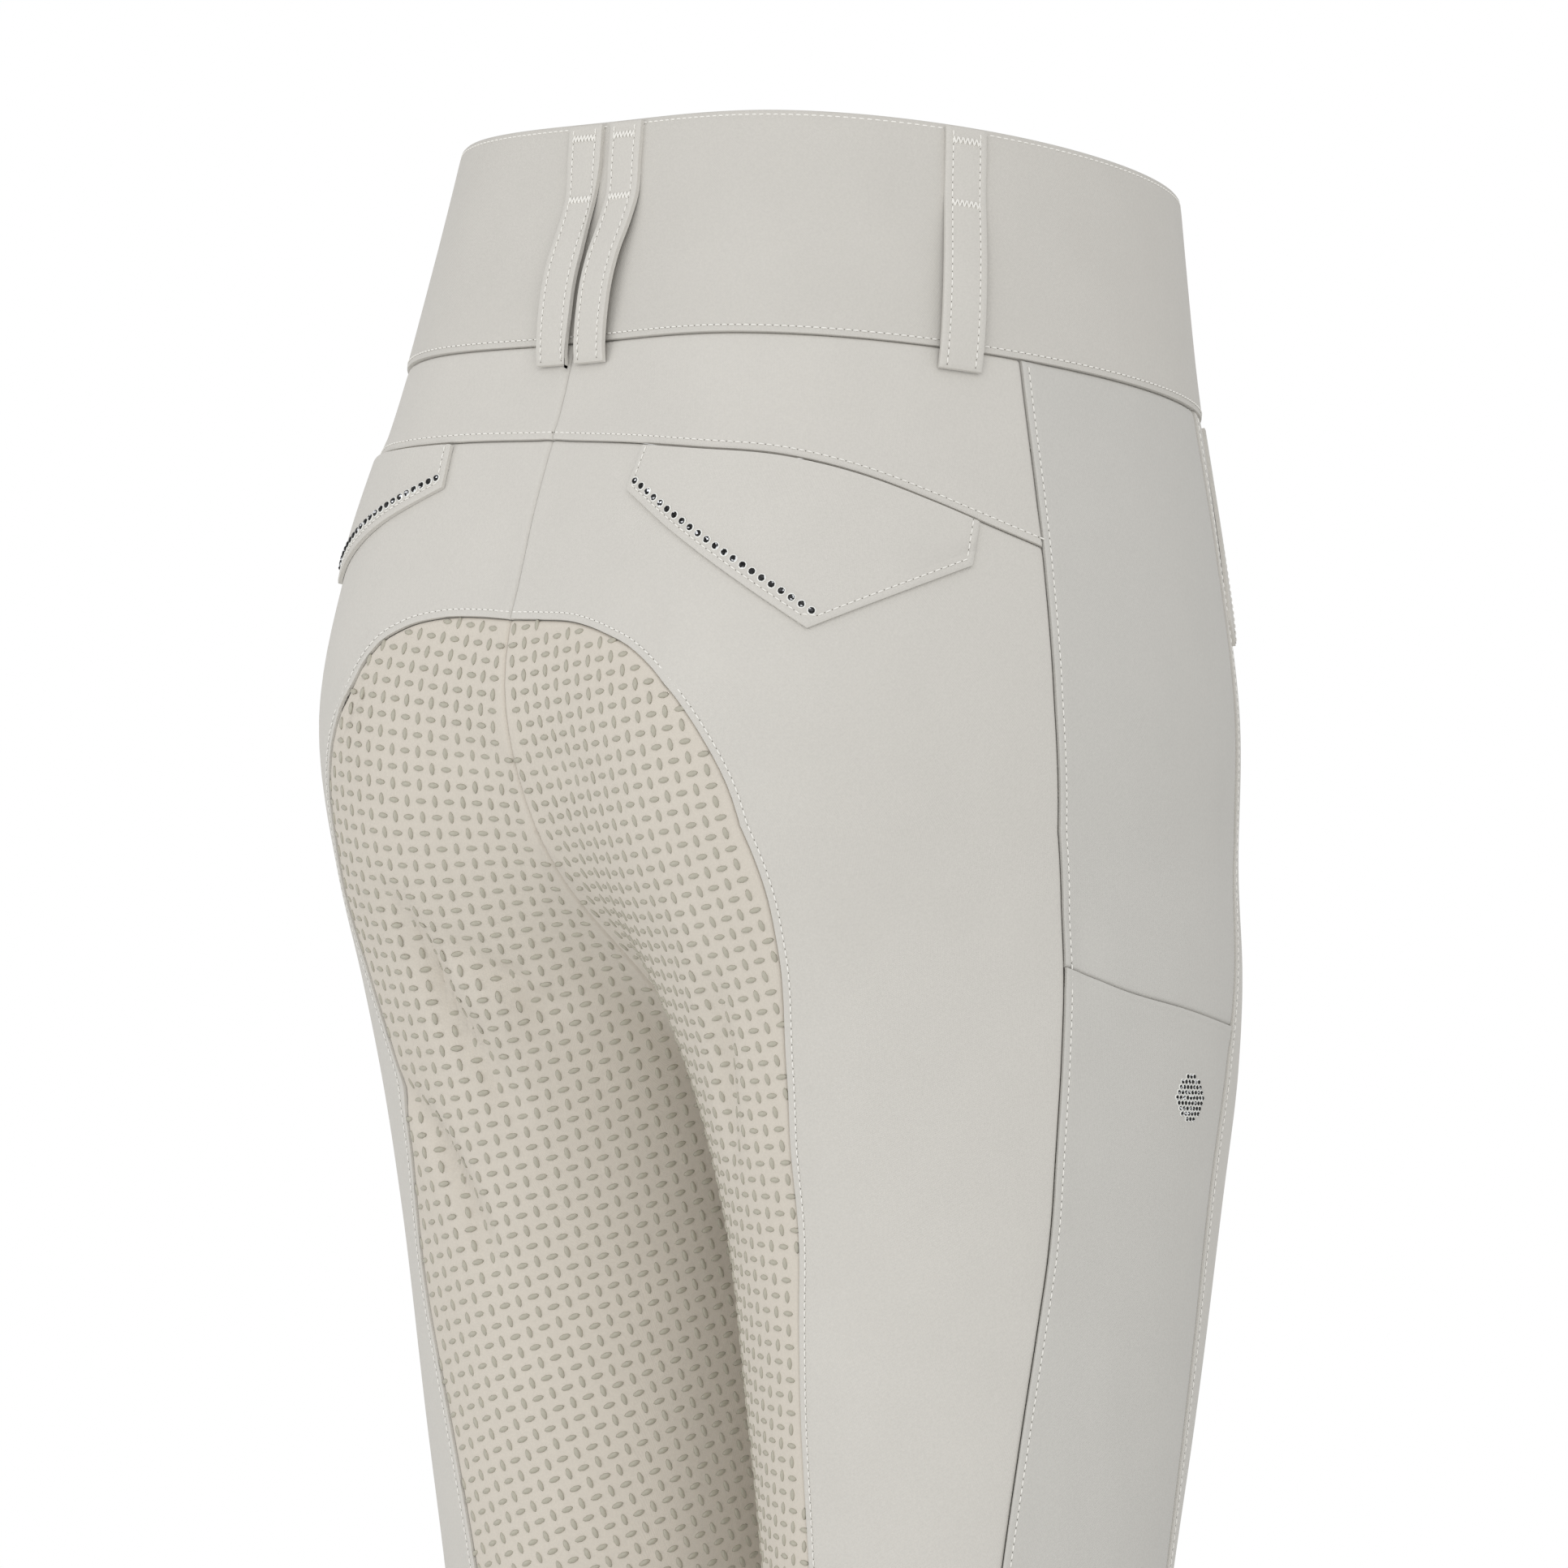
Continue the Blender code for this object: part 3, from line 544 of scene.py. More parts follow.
panels = {
    "thickness": 1.2,
    "stitchIn": 2.4,  # topstitching from a folded edge
    "lap": (0.55, 5.2),  # height and width of a turned edge
    # beside each kind of edge, bells: distance from the edge, height, reach
    "bells": {
        "over": ((0, -0.22, 0.4), (2.4, -0.24, 0.75)),
        "under": ((0, -1.0, 0.5), (0, -0.2, 2.6)),
        "plain": ((0, -0.8, 0.65), (3, 0.2, 2.2)),
    },
    "cuts": {
        # blocks of the grid (row above, row below, column before, column after), cloth, slot
        "yoke": ((("band", "yoke", "sideBack", "centreBack"),), "main", "main_cloth"),
        "back": (
            (("yoke", "arch", "sideBack", "centreBack"), ("arch", "hem", "sideBack", "seatBorder")),
            "main", "main_cloth",
        ),
        "grip": (
            (("arch", "fork", "seatBorder", "centreBack"), ("fork", "hem", "seatBorder", "innerFront")),
            "grip", "grip_cloth",
        ),
        "side_upper": ((("band", "mouth", "sideFront", "sideBack"),), "side", "main_cloth"),
        "side_lower": ((("mouth", "hem", "sideFront", "sideBack"),), "side", "main_cloth"),
        "front": (
            (("band", "hem", "centreFront", "sideFront"), ("fork", "hem", "innerFront", "frontAgain")),
            "main", "main_cloth",
        ),
    },
    # how each edge is sewn: along which row or column, between which others, and its kind
    "edges": {
        "yoke": (
            "row band sideBack centreBack under", "row yoke sideBack centreBack over",
            "column sideBack band yoke under", "column centreBack band yoke plain",
        ),
        "back": (
            "row yoke sideBack centreBack under", "row arch seatBorder centreBack over",
            "column sideBack yoke hem under", "column seatBorder arch hem over",
            "column centreBack yoke arch plain",
        ),
        "grip": (
            "row arch seatBorder centreBack under", "column seatBorder arch hem under",
            "column centreBack arch fork plain", "row fork centreBack innerFront plain",
            "column innerFront fork hem under",
        ),
        "side_upper": (
            "row band sideFront sideBack under", "column sideFront band mouth under",
            "column sideBack band mouth over", "row mouth sideFront sideBack under",
        ),
        "side_lower": (
            "column sideFront mouth hem under", "column sideBack mouth hem over",
            "row mouth sideFront sideBack over",
        ),
        "front": (
            "row band centreFront sideFront under", "column centreFront band fork plain",
            "column sideFront band hem over", "row fork innerFront frontAgain plain",
            "column innerFront fork hem over",
        ),
    },
}


# height of the cloth beside an edge: over is a turned edge that laps the next panel, with the
# hollow that its stitching draws in; under dives below it; plain is a seam pressed open
def edgeRelief(kind, off):
    height = sum(bell(off - at, high, reach) for at, high, reach in panels["bells"][kind])
    lap, width = panels["lap"]
    return height + lap * np.exp(-((off / width) ** 4)) if kind == "over" else height


# the line of the grid that an edge follows
def edgePath(edge, side):
    way, key, first, after, _ = edge.split()
    points = grids[side]["points"]
    if way == "row":
        return points[keyRow[key], keyColumn[first] : keyColumn[after] + 1]
    return points[keyRow[first] : keyRow[after] + 1, keyColumn[key]]


# a cut panel: its blocks of the grid, raised by the folds and beside its own edges
def cutPanel(name, side):
    blocks, cloth, slot = panels["cuts"][name]
    points, normals = grids[side]["points"], grids[side]["normals"]
    shape = points.shape[:2]
    number = np.arange(shape[0] * shape[1]).reshape(shape)
    number[:, -1] = number[:, 0]  # the last column is the first one again
    across, down = lengthAlong(points, 1), lengthAlong(points, 0)
    if name == "front":  # its inner part runs on behind the first column
        across[:, keyColumn["innerFront"] :] -= across[:, -1:].copy()
    quads, chosen = [], np.zeros(shape, bool)
    for top, bottom, first, after in blocks:
        block = (slice(keyRow[top], keyRow[bottom] + 1), slice(keyColumn[first], keyColumn[after] + 1))
        quads.append(cellsOf(number[block]))
        chosen[block] = True
    quads = np.concatenate(quads)
    if side == "left":
        quads = quads[:, ::-1]
    lift = grids[side]["relief"].copy()
    for edge in panels["edges"][name]:
        off = np.full(shape, 1e9)
        off[chosen] = offPath(points[chosen], edgePath(edge, side))[0]
        lift += edgeRelief(edge.split()[-1], off)
    points = points + normals * lift[..., None]
    # some long cuts stand for two solids, an upper and a lower one
    nodes = sorted({f"{name}{part}_{side}" for part in ("", "_upper", "_lower")} & solids)
    piece = clothPiece(f"cloth_{name}_{side}", points, normals, quads, panels["thickness"], across, down,
                       cloth, nodes)
    a, b, c, d = np.moveaxis(points.reshape(-1, 3)[quads], 1, 0)
    area = np.linalg.norm(np.cross(c - a, d - b), axis=1).sum() / 2
    return piece, area * 1e-6


# width, length and area of each cut in metres, before it was sewn
cutSizes = {
    "yoke": (0.189, 0.07, 0.0078),
    "back": (0.215, 0.87, 0.068),
    "grip": (0.24, 0.82, 0.107),
    "side_upper": (0.115, 0.212, 0.0211),
    "side_lower": (0.12, 0.70, 0.0459),
    "front": (0.29, 0.91, 0.1035),
}
panelPieces = {}
for side in sides:
    for name, (width, length, area) in cutSizes.items():
        piece, made = cutPanel(name, side)
        panelPieces[name, side] = piece
        print(f"panel {name}_{side}: {made:.4f} m2 of cloth, {len(piece.data.polygons)} faces")


waistband = {
    "thickness": 2.2,
    "proud": 0.8,  # of the panels
    "roll": 1.6,  # radius of its folded top edge
    # rows of stitching: from the edge, how far the cloth is drawn in, reach, lift of the thread
    "topRow": (2.0, 0.3, 0.8, 0.55),
    "lowerRow": (2.0, 0.22, 0.8, 0.72),
    "lowerEdge": (0.35, 0.6),  # how far it is rounded over, reach
    "slack": (0.25, 37),  # height and length of the waves along it
}


# rings of the grid down to the band seam, right side then left, rolled over at the top
def waistbandStrip():
    rows = keyRow["band"] + 1
    back = keyColumn["centreBack"]
    right, left = grids["right"], grids["left"]
    points, normals = (
        np.concatenate([right[key][:rows, : back + 1], left[key][:rows, back - 1 :: -1]], 1)
        for key in ("points", "normals")
    )
    down, across = lengthAlong(points, 0), lengthAlong(points, 1)
    up = down[-1:] - down
    roll = waistband["roll"]
    topFall = roll - np.sqrt(np.maximum(roll**2 - np.maximum(roll - down, 0) ** 2, 0))
    lift = waistband["proud"] - topFall - bell(up, *waistband["lowerEdge"])
    for passed, row in ((down, "topRow"), (up, "lowerRow")):
        at, deep, reach, _ = waistband[row]
        lift -= bell(passed - at, deep, reach)
    high, length = waistband["slack"]
    lift += high * np.sin(across / length) * np.sin(np.pi * down / down[-1:])
    quads = cellsOf(np.arange(down.size).reshape(down.shape))
    return clothPiece("cloth_waistband", points + normals * lift[..., None], normals, quads,
                      waistband["thickness"], across, down, "band", ["waistband"])


bandPiece = waistbandStrip()
for (name, side), piece in panelPieces.items():
    width, length, area = cutSizes[name]
print("waistband and", len(panelPieces), "cut panels")


# points near the form, moved onto it along its slope, with their outward normals
def ontoForm(points):
    for _ in range(3):
        rise = riseOf(insideness, points)
        steepness = np.linalg.norm(rise, axis=-1, keepdims=True)
        points = points - rise * insideness(points)[..., None] / steepness**2
    return points, rise / steepness


# distance from each point of a patch to its free edges
def edgeOff(points, free):
    edges = {"top": points[0], "bottom": points[-1], "first": points[:, 0], "last": points[:, -1]}
    return np.min([offPath(points, edges[name])[0] for name in free], axis=0)


# spread for one band of a known length, ending at 1
def sharesOf(length, cells):
    return np.append(spread(np.array([float(length)]), cells)[0], 1.0)


# how far free edges are rounded over and stitching is drawn in, each with its reach
patches = {"stitchIn": 2.4, "edge": (0.42, 0.5), "drawnIn": (0.2, 0.7)}


# a patch is a grid of places, moved out along the form's normals; its free edges are rounded over
# and its stitching, one line in from them, is drawn in
def patch(name, side, turns, heights, rise, thickness, free, node, stitchIn=patches["stitchIn"]):
    base, normal = onForm(turns, heights, side)
    off = edgeOff(base, free)
    out = relief(base, side) + rise - bell(off, *patches["edge"]) - bell(off - stitchIn, *patches["drawnIn"])
    points = base + normal * out[..., None]
    quads = cellsOf(np.arange(turns.size).reshape(turns.shape))
    if (turns[0, 0] > turns[0, -1]) != (side == "left"):
        quads = quads[:, ::-1]
    across, down = lengthAlong(base, 1), lengthAlong(base, 0)
    piece = clothPiece(name, points, normal, quads, thickness, across, down, "main", [node], 0)
    size = (float(across[:, -1].max()) * 0.001, float(down[-1].max()) * 0.001)
    return piece, points, normal, size


# an edge moved in over the form, square to itself, towards a place inside it
def movedIn(edge, up, inside, distance):
    way = unit(np.cross(up, unit(np.gradient(edge, axis=0))))
    towards = np.sign(np.sum(way * (inside - edge)))
    return edge + towards * way * np.reshape(distance, (-1, 1))


flaps = {
    # turns of the two top corners, then turn and height of the inner corner, the point, the outer one
    "right": ((0.879, 0.626), (0.888, -125), (0.746, -165), (0.633, -144)),
    "left": ((0.886, 0.626), (0.892, -120), (0.746, -144), (0.633, -131)),
    "pointShare": 0.56,
    "belowSeam": 1.2,
    "rise": 1.9,
    "acrossGrid": (118, 30),  # length, cells between the lines beside its edges
    "downCells": 7,
    "areaShare": 0.62,  # of the rectangle round the flat piece
    "thickness": 1.35,
}


# the top edge follows the yoke seam, the lower one runs straight from corner to point to corner
def pocketFlap(side):
    top, inner, point, outer = flaps[side]
    share = flaps["pointShare"]
    steps = np.unique(np.append(sharesOf(*flaps["acrossGrid"]), share).round(5))
    topTurn = np.interp(steps, (0, 1), top)
    topHeight = rowHeight("yoke", topTurn, side) - flaps["belowSeam"]
    edge = np.array([inner, point, outer])
    edgeTurn = np.interp(steps, (0, share, 1), edge[:, 0])
    edgeHeight = np.interp(steps, (0, share, 1), edge[:, 1])
    down = spread(np.maximum(topHeight - edgeHeight, 8.0), flaps["downCells"]).T
    down = np.concatenate([down, np.ones((1, len(steps)))])
    turns = (1 - down) * topTurn + down * edgeTurn
    heights = (1 - down) * topHeight + down * edgeHeight
    piece, _, _, size = patch(
        f"cloth_flap_{side}", side, turns, heights, flaps["rise"], flaps["thickness"],
        ("bottom", "first", "last"), f"pocket_flap_{side}",
    )
    # the free edge on the form, and the part of it that the stones follow
    base, up = onForm(turns, heights, side)
    edge = np.concatenate([base[:-1, 0], base[-1], base[-2::-1, -1]])
    edgeUp = np.concatenate([up[:-1, 0], up[-1], up[-2::-1, -1]])
    inside = base[len(base) // 2, base.shape[1] // 2]
    last = int(np.argmin(np.abs(steps - share))) + 1
    return {"edge": edge, "up": edgeUp, "inside": inside, "stoneEdge": base[-1, :last],
            "stoneUp": up[-1, :last]}


flapEdges = {side: pocketFlap(side) for side in sides}
print("pocket flaps")


loops = {
    # name, side, turn of the middle at the top and at the bottom, share of the sway, then the
    # half turn and the share of it at the top and at the bottom
    "each": (
        ("back_right", "right", 0.968, 0.967, -0.9, (1.2, 0.98)),
        ("back_left", "left", 0.968, 0.983, 0.8, (1.25, 1.0)),
        ("side_right", "right", 0.617, 0.634, 0, (0.88, 0.82)),
        ("side_left", "left", 0.617, 0.634, 0, (0.88, 0.82)),
        ("front_right", "right", 0.185, 0.18, 0, (0.88, 0.82)),
        ("front_left", "left", 0.185, 0.18, 0, (0.88, 0.82)),
    ),
    "halfTurn": 0.0205,
    # height, clearance under the loop
    "profile": ((-1.5, 1.15), (-13, 1.15), (-24, 1.2), (-34, 2.3), (-46, 3.4), (-60, 3.8), (-71, 3.3),
                (-78.5, 2.2), (-82.4, 1.1)),
    # height, turn: sewn straight down to the second bar tack, then pulled aside
    "sway": ((0, 0), (-15, 0.0055), (-28, 0.0105), (-37, 0.0075), (-46, 0.001), (-55, -0.0022),
             (-68, -0.0018), (-84, 0)),
    "thickness": 1.5,
    "tacks": (-6, -28),  # bar tacks
    "stitchIn": 2.6,
    "downGrid": (82, 34),  # length, cells between the lines beside its edges
    "acrossGrid": (14, 3),
}


# a narrow strip: its middle sways as it goes down, and it stands off between its bar tacks
def beltLoop(name, side, topTurn, bottomTurn, swayShare, widths):
    profile = np.array(loops["profile"], float)
    heights = np.interp(sharesOf(*loops["downGrid"]), (0, 1), (profile[0, 0], profile[-1, 0]))
    clearance = curveThrough(-heights, -profile[:, 0], profile[:, 1])[:, 0]
    middle = np.interp(-heights, (0, -profile[-1, 0]), (topTurn, bottomTurn))
    sway = np.array(loops["sway"], float)
    middle += swayShare * curveThrough(-heights, -sway[:, 0], sway[:, 1])[:, 0]
    across = (2 * sharesOf(*loops["acrossGrid"]) - 1) * loops["halfTurn"]
    turns = middle[:, None] + across * np.interp(-heights, (0, -profile[-1, 0]), widths)[:, None]
    piece, points, normal, size = patch(
        f"cloth_loop_{name}", side, turns, heights[:, None], clearance[:, None] + loops["thickness"],
        loops["thickness"], ("top", "bottom", "first", "last"), f"belt_loop_{name}", loops["stitchIn"],
    )
    return points, normal, heights


loopGrids = {entry[0]: beltLoop(*entry) for entry in loops["each"]}
print("belt loops:", len(loopGrids))


fly = {
    # height, turn of the middle edge, turn of the stitched edge
    "shape": ((-77, 0.012, 0.085), (-120, 0.012, 0.082), (-160, 0.012, 0.072), (-182, 0.012, 0.045),
              (-190, 0.012, 0.022)),
    "rise": 1.75,
    "thickness": 1.2,
    "downGrid": (113, 26),  # length, cells between the lines beside its edges
    "acrossGrid": (34, 8),
    "areaShare": 0.86,  # of the rectangle round the flat piece
}


# from the middle edge to the stitched one, which curves in at the bottom
def flyPlacket():
    rows = np.array(fly["shape"], float)
    heights = np.interp(sharesOf(*fly["downGrid"]), (0, 1), (rows[0, 0], rows[-1, 0]))
    inner = np.interp(-heights, -rows[:, 0], rows[:, 1])
    outer = curveThrough(-heights, -rows[:, 0], rows[:, 2])[:, 0]
    share = sharesOf(*fly["acrossGrid"])
    turns = inner[:, None] * (1 - share) + outer[:, None] * share
    piece, points, normal, size = patch(
        "cloth_fly", "right", turns, heights[:, None], fly["rise"], fly["thickness"],
        ("first", "last", "bottom"), "fly",
    )
    return points, normal


flyGrid = flyPlacket()

frontPocket = {
    "mouth": ((0.275, -79), (0.298, -118), (0.334, -157)),  # lower edge: turn, height
    "welt": (0.013, 9.0),  # turn and height of the welt above that edge
    "top": -77,
    "rise": 1.7,
    "thickness": 1.15,
    "stitchIn": 1.7,
    "alongGrid": (95, 22),  # length, cells between the lines beside its edges
    "acrossGrid": (11, 2),
}


# a strip of even height along a slanted, slightly curved mouth, cut off level below the waistband
def pocketWelt(side):
    lower = np.array(frontPocket["mouth"], float)
    along = sharesOf(*frontPocket["alongGrid"])
    turn = curveThrough(along, (0, 0.5, 1), lower[:, 0])[:, 0]
    height = curveThrough(along, (0, 0.5, 1), lower[:, 1])[:, 0]
    above = 1 - sharesOf(*frontPocket["acrossGrid"])[:, None]
    turns = turn + frontPocket["welt"][0] * above
    heights = np.minimum(height + frontPocket["welt"][1] * above, frontPocket["top"])
    piece, points, normal, size = patch(
        f"cloth_front_pocket_{side}", side, turns, heights, frontPocket["rise"], frontPocket["thickness"],
        ("top", "bottom", "first", "last"), f"front_pocket_{side}", frontPocket["stitchIn"],
    )
    return points, normal


weltGrids = {side: pocketWelt(side) for side in sides}
print("fly and front pockets")


# many small things in one mesh: each copy of a shape has its own place and directions
def scatter(name, shape, faces, places, along, up, material, slot, smooth=True):
    along = unit(along - up * np.sum(along * up, 1, keepdims=True))
    aside = np.cross(up, along)
    frames = np.stack([along, aside, up], 1)
    vertices = places[:, None] + np.einsum("vk,nkc->nvc", shape, frames)
    everyFace = np.asarray(faces)[None] + (np.arange(len(places)) * len(shape))[:, None, None]
    flatFaces = everyFace.reshape(-1, len(faces[0]))
    return addPiece(name, vertices.reshape(-1, 3), flatFaces, material, smooth=smooth, sharp=None)


# rings of points, first to last, closed to a point or a cap at both ends: triangles facing outwards
def ringFaces(rings, around, topVertex):
    faces = []
    for ring in range(rings - 1):
        for i in range(around):
            j = (i + 1) % around
            a, b = ring * around + i, ring * around + j
            faces += [(a, b, b + around), (a, b + around, a + around)]
    last = (rings - 1) * around
    if topVertex is None:
        faces += [(last, last + i, last + i + 1) for i in range(1, around - 1)]
    else:
        faces += [(last + i, last + (i + 1) % around, topVertex) for i in range(around)]
    faces += [(0, i + 1, i) for i in range(1, around - 1)]
    return faces


# evenly spaced places along a path, with the way it runs and the cloth's normal there
def stepsAlong(path, up, pitch=None, count=None):
    lengths = np.linalg.norm(np.diff(path, axis=0), axis=1)
    at = np.concatenate([[0], np.cumsum(lengths)])
    count = count or max(int(at[-1] / pitch), 1)
    wanted = (np.arange(count) + 0.5) * at[-1] / count

    def read(values, where):
        return np.stack([np.interp(where, at, values[:, k]) for k in range(3)], 1)

    ahead = read(path, np.minimum(wanted + 0.4, at[-1]))
    behind = read(path, np.maximum(wanted - 0.4, 0))
    return read(path, wanted), unit(ahead - behind), unit(read(up, wanted))


stitches = {
    "pitch": 2.65,
    "finePitch": 2.6,  # on the small pieces and the waistband
    "length": 1.85,
    "width": 0.52,
    "height": 0.42,
    "lift": 0.1,
    "around": 5,
    # along the stitch from its middle, thickness, dip into the cloth
    "profile": ((-0.5, 0.45, 0.26), (-0.3, 1.0, 0.02), (0.3, 1.0, 0.02), (0.5, 0.45, 0.26)),
    "hole": 0.24,  # radius
    "holeAround": 6,
    "hemRows": (-957, -963),
}
stitchPaths = []  # each a path, its normals and its pitch


# a thread laid over the cloth: a five-sided rod, thinner and dipping in at both ends
def threadShape():
    ring = circle(stitches["around"])[:, [2, 0, 1]]
    rings = []
    for at, full, dip in stitches["profile"]:
        size = np.array([1, 0.5 * stitches["width"] * full, 0.5 * stitches["height"] * full])
        rings.append(ring * size + (at * stitches["length"], 0, stitches["lift"] - dip))
    return np.concatenate(rings), ringFaces(len(rings), stitches["around"], None)


# a row of stitches along a path, lifted along its normals
def sewAlong(path, up, lift, pitch=stitches["finePitch"]):
    stitchPaths.append((path + up * np.reshape(lift, (-1, 1)), up, pitch))


# topstitching beside a seam: off is positive towards smaller turns, or below a seam that runs across
def besideSeam(side, turns, heights, off, lift=None):
    base, normal = onForm(np.asarray(turns, float), np.asarray(heights, float), side)
    way = np.cross(normal, unit(np.gradient(base, axis=0))) * (1 if side == "right" else -1)
    path = base + way * off
    sewAlong(path, normal, relief(path, side) + (onLap if lift is None else lift), stitches["pitch"])


# turns of one seam that runs down, at these heights
def seamTurns(name, heights, side):
    names = [entry[0] for entry in grid["columns"]]
    return keyTurns(heights, side)[names.index(name)]


onLap = float(edgeRelief("over", np.array(panels["stitchIn"]))) + stitches["lift"]
sewn = {"top": -77, "bottom": -973, "nearFront": 0.004, "nearBack": 0.999}  # where rows start and end
for side in sides:
    # along the yoke, above its seam
    start = float(seamTurns("sideBack", np.array([-135.0]), side)[0])
    turns = np.linspace(start, sewn["nearBack"], 60)
    besideSeam(side, turns, rowHeight("yoke", turns, side), -panels["stitchIn"])
    # down the side back seam and the side front seam
    down = np.linspace(sewn["top"], sewn["bottom"], 240)
    for seam in ("sideBack", "sideFront"):
        besideSeam(side, seamTurns(seam, down, side), down, panels["stitchIn"])
    # round the seat arch and down the grip's border, on the turned edge of the back
    archTurns = np.linspace(sewn["nearBack"], 0.845, 40)
    borderDown = np.linspace(-181, sewn["bottom"], 220)
    turns = np.concatenate([archTurns, seamTurns("seatBorder", borderDown, side)])
    heights = np.concatenate([rowHeight("arch", archTurns, side), borderDown])
    besideSeam(side, turns, heights, panels["stitchIn"])
    down = np.linspace(-227, sewn["bottom"], 220)
    besideSeam(side, seamTurns("innerFront", down, side), down, -panels["stitchIn"])
    # two rows round each hem
    for height in stitches["hemRows"]:
        besideSeam(side, np.linspace(0.0, 2.0, 120), np.full(120, float(height)), 0, stitches["lift"])
    # round each flap: beside a corner, the places that come too near its other edge drop out
    flap = flapEdges[side]
    path = movedIn(flap["edge"], flap["up"], flap["inside"], panels["stitchIn"])
    clear = offPath(path, flap["edge"])[0] > 0.94 * panels["stitchIn"]
    path = path[clear]
    sewAlong(path, flap["up"][clear], relief(path, side) + flaps["rise"] - 0.1)
    points, normal = weltGrids[side]
    sewAlong(points[-4], normal[-4], stitches["lift"])

near = grid["beside"].index(2.4) + 1  # the grid line that lies where the stitching does
for points, normal, heights in loopGrids.values():
    for column in (near, -near - 1):
        sewAlong(points[2:-2, column], normal[2:-2, column], stitches["lift"])

points, normal = flyGrid
for column in (-near - 1, -near - 3):
    sewAlong(points[:-near, column], normal[:-near, column], stitches["lift"])

# both edges of the waistband, all round
for edge, way, row in ((0, -1, "topRow"), (-75, 1, "lowerRow")):
    off, _, _, lift = waistband[row]
    for side in sides:
        turns = np.linspace(sewn["nearFront"], sewn["nearBack"], 160)
        sewAlong(*onForm(turns, np.full(160, edge + way * off), side), lift)


# all stitches as one piece, and a shallow pit between each two, coloured with painted shade, as another
def sewEverything():
    runs = [stepsAlong(path, up, pitch) for path, up, pitch in stitchPaths]
    places, ways, ups = (np.concatenate(part) for part in zip(*runs))
    scatter("topstitching", *threadShape(), places, ways, ups, threadFinish, "stitching")
    disc = stitches["hole"] * circle(stitches["holeAround"])
    # closed below, so that it is a solid
    pit = np.concatenate([disc + (0, 0, -0.12), disc * (0.8, 0.8, 1) + (0, 0, 0.03)])
    holePlaces = places + ways * (0.5 * stitches["pitch"]) - ups * 0.08
    pitFaces = ringFaces(2, stitches["holeAround"], None)
    scatter("needle_hole_shade", pit, pitFaces, holePlaces, ways, ups, holeShadeFinish, "stitching")
    return len(places)


print("topstitching:", sewEverything(), "stitches")

# lean: how far each thread of the zigzag leans from straight down
tack = {"pitch": 0.78, "length": 2.6, "width": 0.6, "height": 0.6, "lean": 0.32, "lift": 0.2}


# bar tacks: a dense zigzag across each belt loop
def barTacks():
    shape, faces = threadShape()
    shape = shape * [tack[key] / stitches[key] for key in ("length", "width", "height")]
    places, ways, ups = [], [], []
    for points, normal, heights in loopGrids.values():
        for level in loops["tacks"]:
            row = int(np.argmin(np.abs(heights - level)))
            place, way, up = stepsAlong(points[row, 4:-4], normal[row, 4:-4], tack["pitch"])
            lean = np.where(np.arange(len(place)) % 2, tack["lean"], -tack["lean"])[:, None]
            places.append(place + up * tack["lift"])
            ways.append(np.cross(way, up) + way * lean)
            ups.append(up)
    places, ways, ups = (np.concatenate(part) for part in (places, ways, ups))
    scatter("bar_tacks", shape, faces, places, ways, ups, threadFinish, "stitching")


barTacks()

# printed silicone beads, in a lattice laid out on the flat cut of the grip panel
beads = {
    "pitch": 5.35,
    "length": 4.4,
    "width": 2.1,
    "height": 0.55,
    "around": 8,
    "sunk": 0.12,  # of the rim, into the cloth
    "shoulder": (0.8, 0.72, 0.72),  # shares of the length, width and height
    "lean": -6.5,  # degrees that the rows lean from square to the centre back
    "bend": {"right": 0.0, "left": -0.0008},  # how fast they turn further down, per millimetre
    "bendFrom": 60,  # millimetres below the seat arch
    "lowest": -640,
    "fromEdge": {"under": 1.0, "plain": 2.2},  # of a bead's middle: some run beneath a turned edge
    # the net that the cut is flattened with: key row or column, cells, share of the band they cover
    "netRows": (("arch", 6, 1), ("fork", 8, 1), ("mouth", 10, 1), ("leg", 20, 0.48)),
    "netColumns": (("seatBorder", 7, 1), ("centreBack", 12, 1)),
}


# bands and shares of the lines of a net
def netLines(entries, names):
    bands = [np.full(cells, names.index(key)) for key, cells, _ in entries]
    shares = [covered * np.arange(cells) / cells for _, cells, covered in entries]
    return np.concatenate(bands + [bands[-1][-1:]]), np.concatenate(shares + [[entries[-1][-1]]])


# the grip panel as a coarse net of places, and its triangles
def gripNet(side):
    rowBand, rowStep = netLines(beads["netRows"], [row[0] for row in grid["rows"]])
    columnBand, columnStep = netLines(beads["netColumns"], [column[0] for column in grid["columns"]])
    above, across = beads["netRows"][0][1], beads["netColumns"][0][1]
    shape = (len(rowBand), len(columnBand))
    turns, heights = gridPlaces(rowBand, np.broadcast_to(rowStep[:, None], shape), columnBand,
                                np.broadcast_to(columnStep[None], shape), side)
    points, _ = onForm(turns, heights, side)
    number = np.arange(shape[0] * shape[1]).reshape(shape)
    there = np.ones((shape[0] - 1, shape[1] - 1), bool)
    there[:above, across:] = False  # above the fork the panel ends at the centre back
    cells = cellsOf(number)[there.ravel()]
    triangles = np.concatenate([cells[:, [0, 1, 2]], cells[:, [0, 2, 3]]])
    used = np.unique(triangles)
    renumber = np.zeros(number.size, int)
    renumber[used] = np.arange(len(used))
    column = np.broadcast_to(np.arange(shape[1]), shape).ravel()[used]
    marks = renumber[number[[0, above], across]]  # arch and fork on the centre back
    return points.reshape(-1, 3)[used], heights.ravel()[used], renumber[triangles], column, marks


